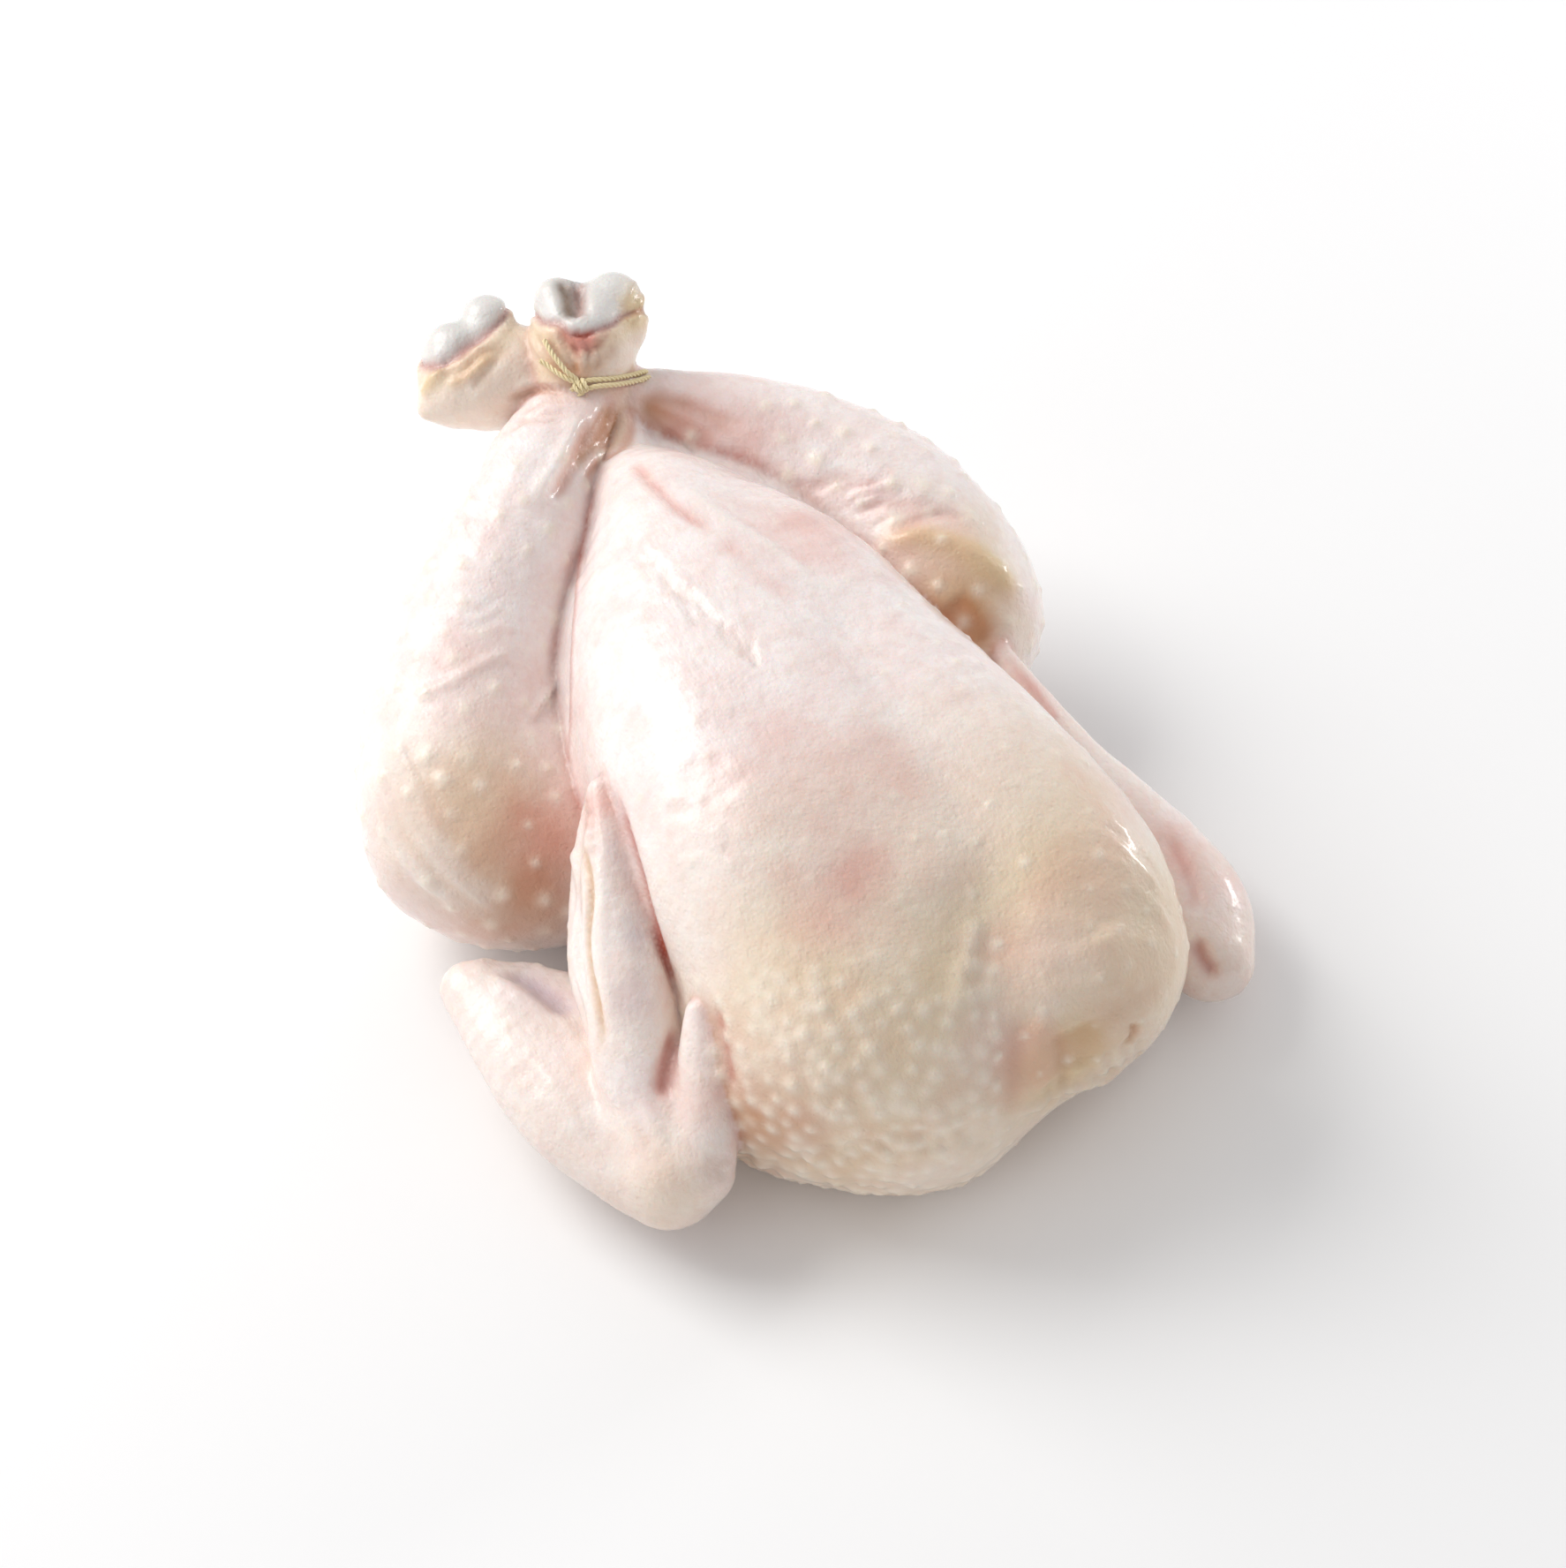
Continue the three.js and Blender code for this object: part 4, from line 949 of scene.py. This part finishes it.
def turn_of_string(offset):
    """One tight turn of string in a plane across the ankles."""
    side = np.array([1.0, 0, 0]) - TIE_NORMAL * TIE_NORMAL[0]
    side /= np.linalg.norm(side)
    over = np.cross(TIE_NORMAL, side)
    centre = TIE_CENTRE + offset * TIE_NORMAL
    angles = 2 * math.pi * np.arange(TURN_POINTS) / TURN_POINTS
    spokes = np.cos(angles)[:, None] * side + np.sin(angles)[:, None] * over
    radii = np.full(TURN_POINTS, TIE_REACH)
    for step in range(SHRINK_STEPS):
        loose = (flesh(centre + radii[:, None] * spokes) > SHRINK) & (radii > LEAST_RADIUS)
        radii = radii - SHRINK * loose
    chord = 1 / math.cos(2 * math.pi / TURN_POINTS)
    for pull in range(PULLS):
        straight = 2 / (1 / np.roll(radii, 1) + 1 / np.roll(radii, -1)) / chord
        radii = np.maximum(radii, straight)
    return centre + radii[:, None] * spokes


turns = [turn_of_string(side * TURN_APART / 2) for side in (-1, 1)]
front = seen(FRONT)
front_out = slope(flesh, front)
for turn, side in zip(turns, (-1, 1)):
    for i, p in enumerate(turn):
        k = np.linalg.norm(front - p, axis=1).argmin()
        if 0 < k < len(front) - 1:
            turn[i] = front[k] + STRING_LIFT * front_out[k] + side * TURN_APART / 2 * TIE_NORMAL
    for ease in range(EASE_ROUNDS):
        turn[:] = (np.roll(turn, 1, 0) + 2 * turn + np.roll(turn, -1, 0)) / 4
lengths = [np.linalg.norm(np.diff(turn, axis=0), axis=1).sum() for turn in turns]
print("the turns are", [round(float(length)) for length in lengths], "mm long")

# %% [markdown]
# ## The finished skin mesh
#
# Last come the slow swells of soft flesh and a fine crumple. The string presses a dent in the
# skin. The points then move straight out by their relief, except near the table, where the
# bird's weight presses the skin flat.

# %% Raise the relief and make the mesh
SWELLS = ((0.45, 24, 11), (0.22, 9, 12), (0.07, 3.2, 13))
STRING_SPREAD = 3.0
STRING_DENT = 0.7
DENT_WIDTH = 1.3
DEEPEST, HIGHEST = -4.5, 2.5
for height, size, seed in SWELLS:
    relief += height * noise(skin_points, size, seed)
relief *= ramp(z, -0.2, 2.3)
to_string = np.full(len(skin_points), np.inf)
for p in np.vstack([smooth_chain(np.vstack([turn, turn[:1]]), 3) for turn in turns]):
    to_string = np.minimum(to_string, np.linalg.norm(skin_points - p, axis=1))
relief *= 1 - band(to_string, 0, STRING_SPREAD)
relief -= STRING_DENT * band(to_string, 0, DENT_WIDTH)
relief = np.clip(relief, DEEPEST, HIGHEST)
moved = skin_points + relief[:, None] * skin_out
moved[:, 2] = np.maximum(moved[:, 2], 0)
skin_mesh = bpy.data.meshes.new("skin")
skin_mesh.from_pydata((moved + SHIFT) * MM, [], skin_faces)
skin_mesh.polygons.foreach_set("use_smooth", np.ones(len(skin_faces), bool))
for name, mask in masks.items():
    layer = skin_mesh.attributes.new(name, "FLOAT", "POINT")
    layer.data.foreach_set("value", np.clip(mask, 0, 1).astype(np.float32))
skin_mesh.update()
skin = bpy.data.objects.new("chicken_skin", skin_mesh)
scene.collection.objects.link(skin)
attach(skin, "root")
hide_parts("chicken")
print("skin:", len(skin_mesh.vertices), "points")

# %% [markdown]
# ## Raw chicken skin
#
# Chicken skin is a thin, wet, milky film over muscle and fat. Light goes in, scatters a few
# millimetres and comes out warmer, so the shader scatters light under the surface, more for red
# than for blue. A thin film of water on top gives the sharp part of the gloss. Skin and water
# have an index of refraction of 1.38 and 1.33; skin's own roughness is 0.36 to 0.5, the water film's
# 0.15. Three textures make the fine grain: pores 1.3 mm apart, a crumple of 2.2 mm and a crepe
# of 1.8 mm that runs lengthwise, as stretched skin does.

# %% Skin material
raw_skin, tree, shader = new_material("raw chicken skin, wet")
place = add_node(tree, "ShaderNodeTexCoord").outputs["Object"]


def per_mm(millimetres):
    """Texture scale for a pattern that repeats about every so many millimetres."""
    return 1 / (millimetres * MM)


def attribute(name):
    return add_node(tree, "ShaderNodeAttribute", {"attribute_name": name}).outputs["Fac"]


def mixed(amount, below, above):
    """A colour mix; below and above are hex colours or sockets."""
    below, above = [linear(c) if isinstance(c, str) else c for c in (below, above)]
    return add_node(tree, "ShaderNodeMix", {"data_type": "RGBA"}, i0=amount, i6=below, i7=above).outputs[2]


mottle = add_node(tree, "ShaderNodeTexNoise", None, Vector=place, Scale=per_mm(14), Detail=4.0, Roughness=0.6)
veins = add_node(tree, "ShaderNodeTexNoise", None, Vector=place, Scale=per_mm(3), Detail=5.0, Roughness=0.65)
mottle_step = add_node(tree, "ShaderNodeMapRange", None, Value=mottle.outputs[0], From_Min=0.42,
                       From_Max=0.72)
vein_step = add_node(tree, "ShaderNodeMapRange", None, Value=veins.outputs[0], From_Min=0.45, From_Max=0.8,
                     To_Max=0.45)
colour = mixed(mottle_step.outputs[0], "f6edea", "f0dfda")
colour = mixed(vein_step.outputs[0], colour, "e6c8bf")
# The pale colour f3ece6 is whiter skin and white tendon, and on ridges, edges, the keel and the wishbone
# partly a painted highlight.
# The tan colour c08b5e is mostly painted shade: brown in grooves, creases, under folds and low down; in part
# the brown tone of thin skin by the vent.
# The violet colour b7a3b0 is the bluish tone of thin skin, and on the web of the left wing painted shade.
TINTS = {"fat": "e2cba6", "tan": "c08b5e", "blush": "dc9a8c", "pale": "f3ece6", "violet": "b7a3b0",
         "gristle": "dcd9d5", "red": "b04a33", "pimple": "f3e8d8", "shade": "7d6450"}
for name, tint in TINTS.items():
    colour = mixed(attribute(name), colour, tint)
tree.links.new(colour, shader.inputs["Base Color"])
pores = add_node(tree, "ShaderNodeTexVoronoi", None, Vector=place, Scale=per_mm(1.3))
pore_step = add_node(tree, "ShaderNodeMapRange", None, Value=pores.outputs[0], From_Max=0.5)
crumple = add_node(tree, "ShaderNodeTexNoise", None, Vector=place, Scale=per_mm(2.2), Detail=3.0,
                   Roughness=0.55)
grain = add_node(tree, "ShaderNodeMath", {"operation": "MULTIPLY_ADD"}, i0=pore_step.outputs[0], i1=0.25,
                 i2=crumple.outputs[0])
lengthwise = add_node(tree, "ShaderNodeMapping", None, Vector=place, Rotation=(0, 0, math.radians(20)),
                      Scale=(1, 0.3, 1))
crepe = add_node(tree, "ShaderNodeTexNoise", None, Vector=lengthwise.outputs[0], Scale=per_mm(1.8),
                 Detail=4.0, Roughness=0.6)
grain = add_node(tree, "ShaderNodeMath", {"operation": "MULTIPLY_ADD"}, i0=crepe.outputs[0], i1=0.9,
                 i2=grain.outputs[0])
bump = add_node(tree, "ShaderNodeBump", None, Strength=0.8, Distance=0.35 * MM, Height=grain.outputs[0])
tree.links.new(bump.outputs[0], shader.inputs["Normal"])
damp = add_node(tree, "ShaderNodeMapRange", None, Value=mottle.outputs[0], From_Min=0.3, From_Max=0.7,
                To_Min=0.36, To_Max=0.5)
tree.links.new(damp.outputs[0], shader.inputs["Roughness"])
shader.inputs["IOR"].default_value = 1.38
shader.inputs["Subsurface Weight"].default_value = 0.25
shader.inputs["Subsurface Radius"].default_value = (1.0, 0.42, 0.25)
shader.inputs["Subsurface Scale"].default_value = 3 * MM
shader.inputs["Coat Weight"].default_value = 0.7
shader.inputs["Coat Roughness"].default_value = 0.15
shader.inputs["Coat IOR"].default_value = 1.33
skin_mesh.materials.append(raw_skin)
print("skin tints:", list(TINTS))

# %% [markdown]
# ## Twisting the plies
#
# A ply is swept along the path while it circles it, one full turn every four millimetres, and
# the three plies start a third of a turn apart. The knot is a short overhand knot: its path is
# a small loop that goes round both turns, drawn with the same plies.

# %% Plies, knot and ends
PLIES = 3
TWIST = 4.0
PLY_SIDES = 7
RING_STEP = 0.35
PLY_OFFSET = 0.5
PLY_RADIUS = 0.52
REST_GAP = 0.25
LIFT_ROUNDS = 8
KNOT_LEANS = (-0.8, 0.0, 0.8)
KNOT_PITCH = 1.1
KNOT_HALF = (1.35, 1.25)
KNOT_PLY = 0.8
KNOT_START = 0.3
FIRST_ACROSS = (0.3, 0.2, 0.93)


def round_spokes(angles, across, over):
    """Unit steps round a circle that `across` and `over` span."""
    return np.cos(angles)[:, None] * across + np.sin(angles)[:, None] * over


def along(path, step):
    """The path again, with points an even step apart."""
    long = np.concatenate([[0], np.cumsum(np.linalg.norm(np.diff(path, axis=0), axis=1))])
    even = np.linspace(0, long[-1], max(4, int(long[-1] / step)))
    return np.stack([np.interp(even, long, path[:, i]) for i in range(3)], 1)


def twisted(path, radius, closed=False):
    """Tubes of all plies round a path; returns points and faces."""
    chain = np.vstack([path, path[:1]]) if closed else path
    line = along(smooth_chain(chain, 8), RING_STEP)
    ahead = np.gradient(line, axis=0)
    ahead /= np.linalg.norm(ahead, axis=1)[:, None]
    frames = [np.cross(ahead[0], FIRST_ACROSS)]
    for direction in ahead[1:]:
        frames.append(frames[-1] - direction * (frames[-1] @ direction))
        frames[-1] = frames[-1] / np.linalg.norm(frames[-1])
    one = np.array(frames) / np.linalg.norm(frames, axis=1)[:, None]
    two = np.cross(ahead, one)
    travelled = RING_STEP * np.arange(len(line))
    points, faces = [], []
    around = 2 * math.pi * np.arange(PLY_SIDES) / PLY_SIDES
    for ply in range(PLIES):
        angle = 2 * math.pi * (travelled / TWIST + ply / PLIES)
        middle = line + PLY_OFFSET * radius * round_spokes(angle, one, two)
        base = sum(map(len, points))
        for a in range(len(line)):
            points.append(middle[a] + PLY_RADIUS * radius * round_spokes(around, one[a], two[a]))
        for a in range(len(line) - 1):
            for b in range(PLY_SIDES):
                c = (b + 1) % PLY_SIDES
                low, high = base + a * PLY_SIDES, base + (a + 1) * PLY_SIDES
                faces.append((low + b, low + c, high + c, high + b))
        faces.append(tuple(base + b for b in reversed(range(PLY_SIDES))))
        faces.append(tuple(base + (len(line) - 1) * PLY_SIDES + b for b in range(PLY_SIDES)))
    return np.vstack(points), faces


def laid_on_skin(p, lift):
    """Lifts points that are sunk in the skin until the string just rests on it."""
    for lift_once in range(LIFT_ROUNDS):
        p = p + slope(flesh, p) * np.maximum(lift - flesh(p), 0)[:, None]
    return p


middle_turn = (turns[0] + turns[1]) / 2
spokes = middle_turn - TIE_CENTRE
spokes /= np.linalg.norm(spokes, axis=1)[:, None]
best = np.linalg.norm(middle_turn - front[KNOT_PLACE], axis=1).argmin()
knot_at = middle_turn[best] + spokes[best] * KNOT_SIZE / 2
string_along = middle_turn[(best + 1) % TURN_POINTS] - middle_turn[best - 1]
string_along /= np.linalg.norm(string_along)
knot_over = spokes[best]
knot_across = np.cross(string_along, knot_over)
pieces = []
for points in turns:
    pieces.append(twisted(points, STRING_RADIUS, True))
for lean in KNOT_LEANS:
    angle = np.linspace(KNOT_START, 2 * math.pi + KNOT_START, 14)
    slanted = KNOT_HALF[1] * knot_over + 0.5 * lean * string_along
    start = knot_at - 0.5 * knot_over + lean * KNOT_PITCH * string_along
    loop = start + round_spokes(angle, KNOT_HALF[0] * knot_across, slanted)
    pieces.append(twisted(loop, STRING_RADIUS * KNOT_PLY))
for direction, length in ENDS:
    direction = np.array(direction) / np.linalg.norm(direction)
    line = knot_at + direction * length * np.linspace(0, 1, 7)[:, None]
    line[2:] = laid_on_skin(line[2:], STRING_RADIUS + REST_GAP)
    pieces.append(twisted(line, STRING_RADIUS))
string_points, string_faces = [], []
for points, faces in pieces:
    base = sum(map(len, string_points))
    string_points.append(points)
    string_faces += [tuple(base + i for i in face) for face in faces]
string_mesh = bpy.data.meshes.new("string")
string_mesh.from_pydata((np.vstack(string_points) + SHIFT) * MM, [], string_faces)
string_mesh.polygons.foreach_set("use_smooth", np.ones(len(string_faces), bool))
string = bpy.data.objects.new("kitchen_string", string_mesh)
scene.collection.objects.link(string)
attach(string, "root")
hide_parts("twine")
print("string:", len(string_faces), "faces")

# %% [markdown]
# ## Cotton string
#
# Unbleached cotton is matt and a little fuzzy: roughness near 0.9, with some sheen from the
# loose fibres. Fibres run along the plies, about 0.1 mm wide; they are drawn a little coarser so
# that they show. The string is damp from the meat, so it is a shade darker and yellower.

# %% Cotton material
cotton, tree, shader = new_material("unbleached cotton string, damp")
place = add_node(tree, "ShaderNodeTexCoord").outputs["Object"]
fibres = add_node(tree, "ShaderNodeTexNoise", None, Vector=place, Scale=per_mm(0.3), Detail=3.0)
fibre_colour = mixed(fibres.outputs[0], "dcc68e", "fbf0cc")
tree.links.new(fibre_colour, shader.inputs["Base Color"])
fibre_bump = add_node(tree, "ShaderNodeBump", None, Strength=0.6, Distance=0.08 * MM,
                      Height=fibres.outputs[0])
tree.links.new(fibre_bump.outputs[0], shader.inputs["Normal"])
shader.inputs["Roughness"].default_value = 0.85
shader.inputs["Sheen Weight"].default_value = 0.3
shader.inputs["IOR"].default_value = 1.5
string_mesh.materials.append(cotton)
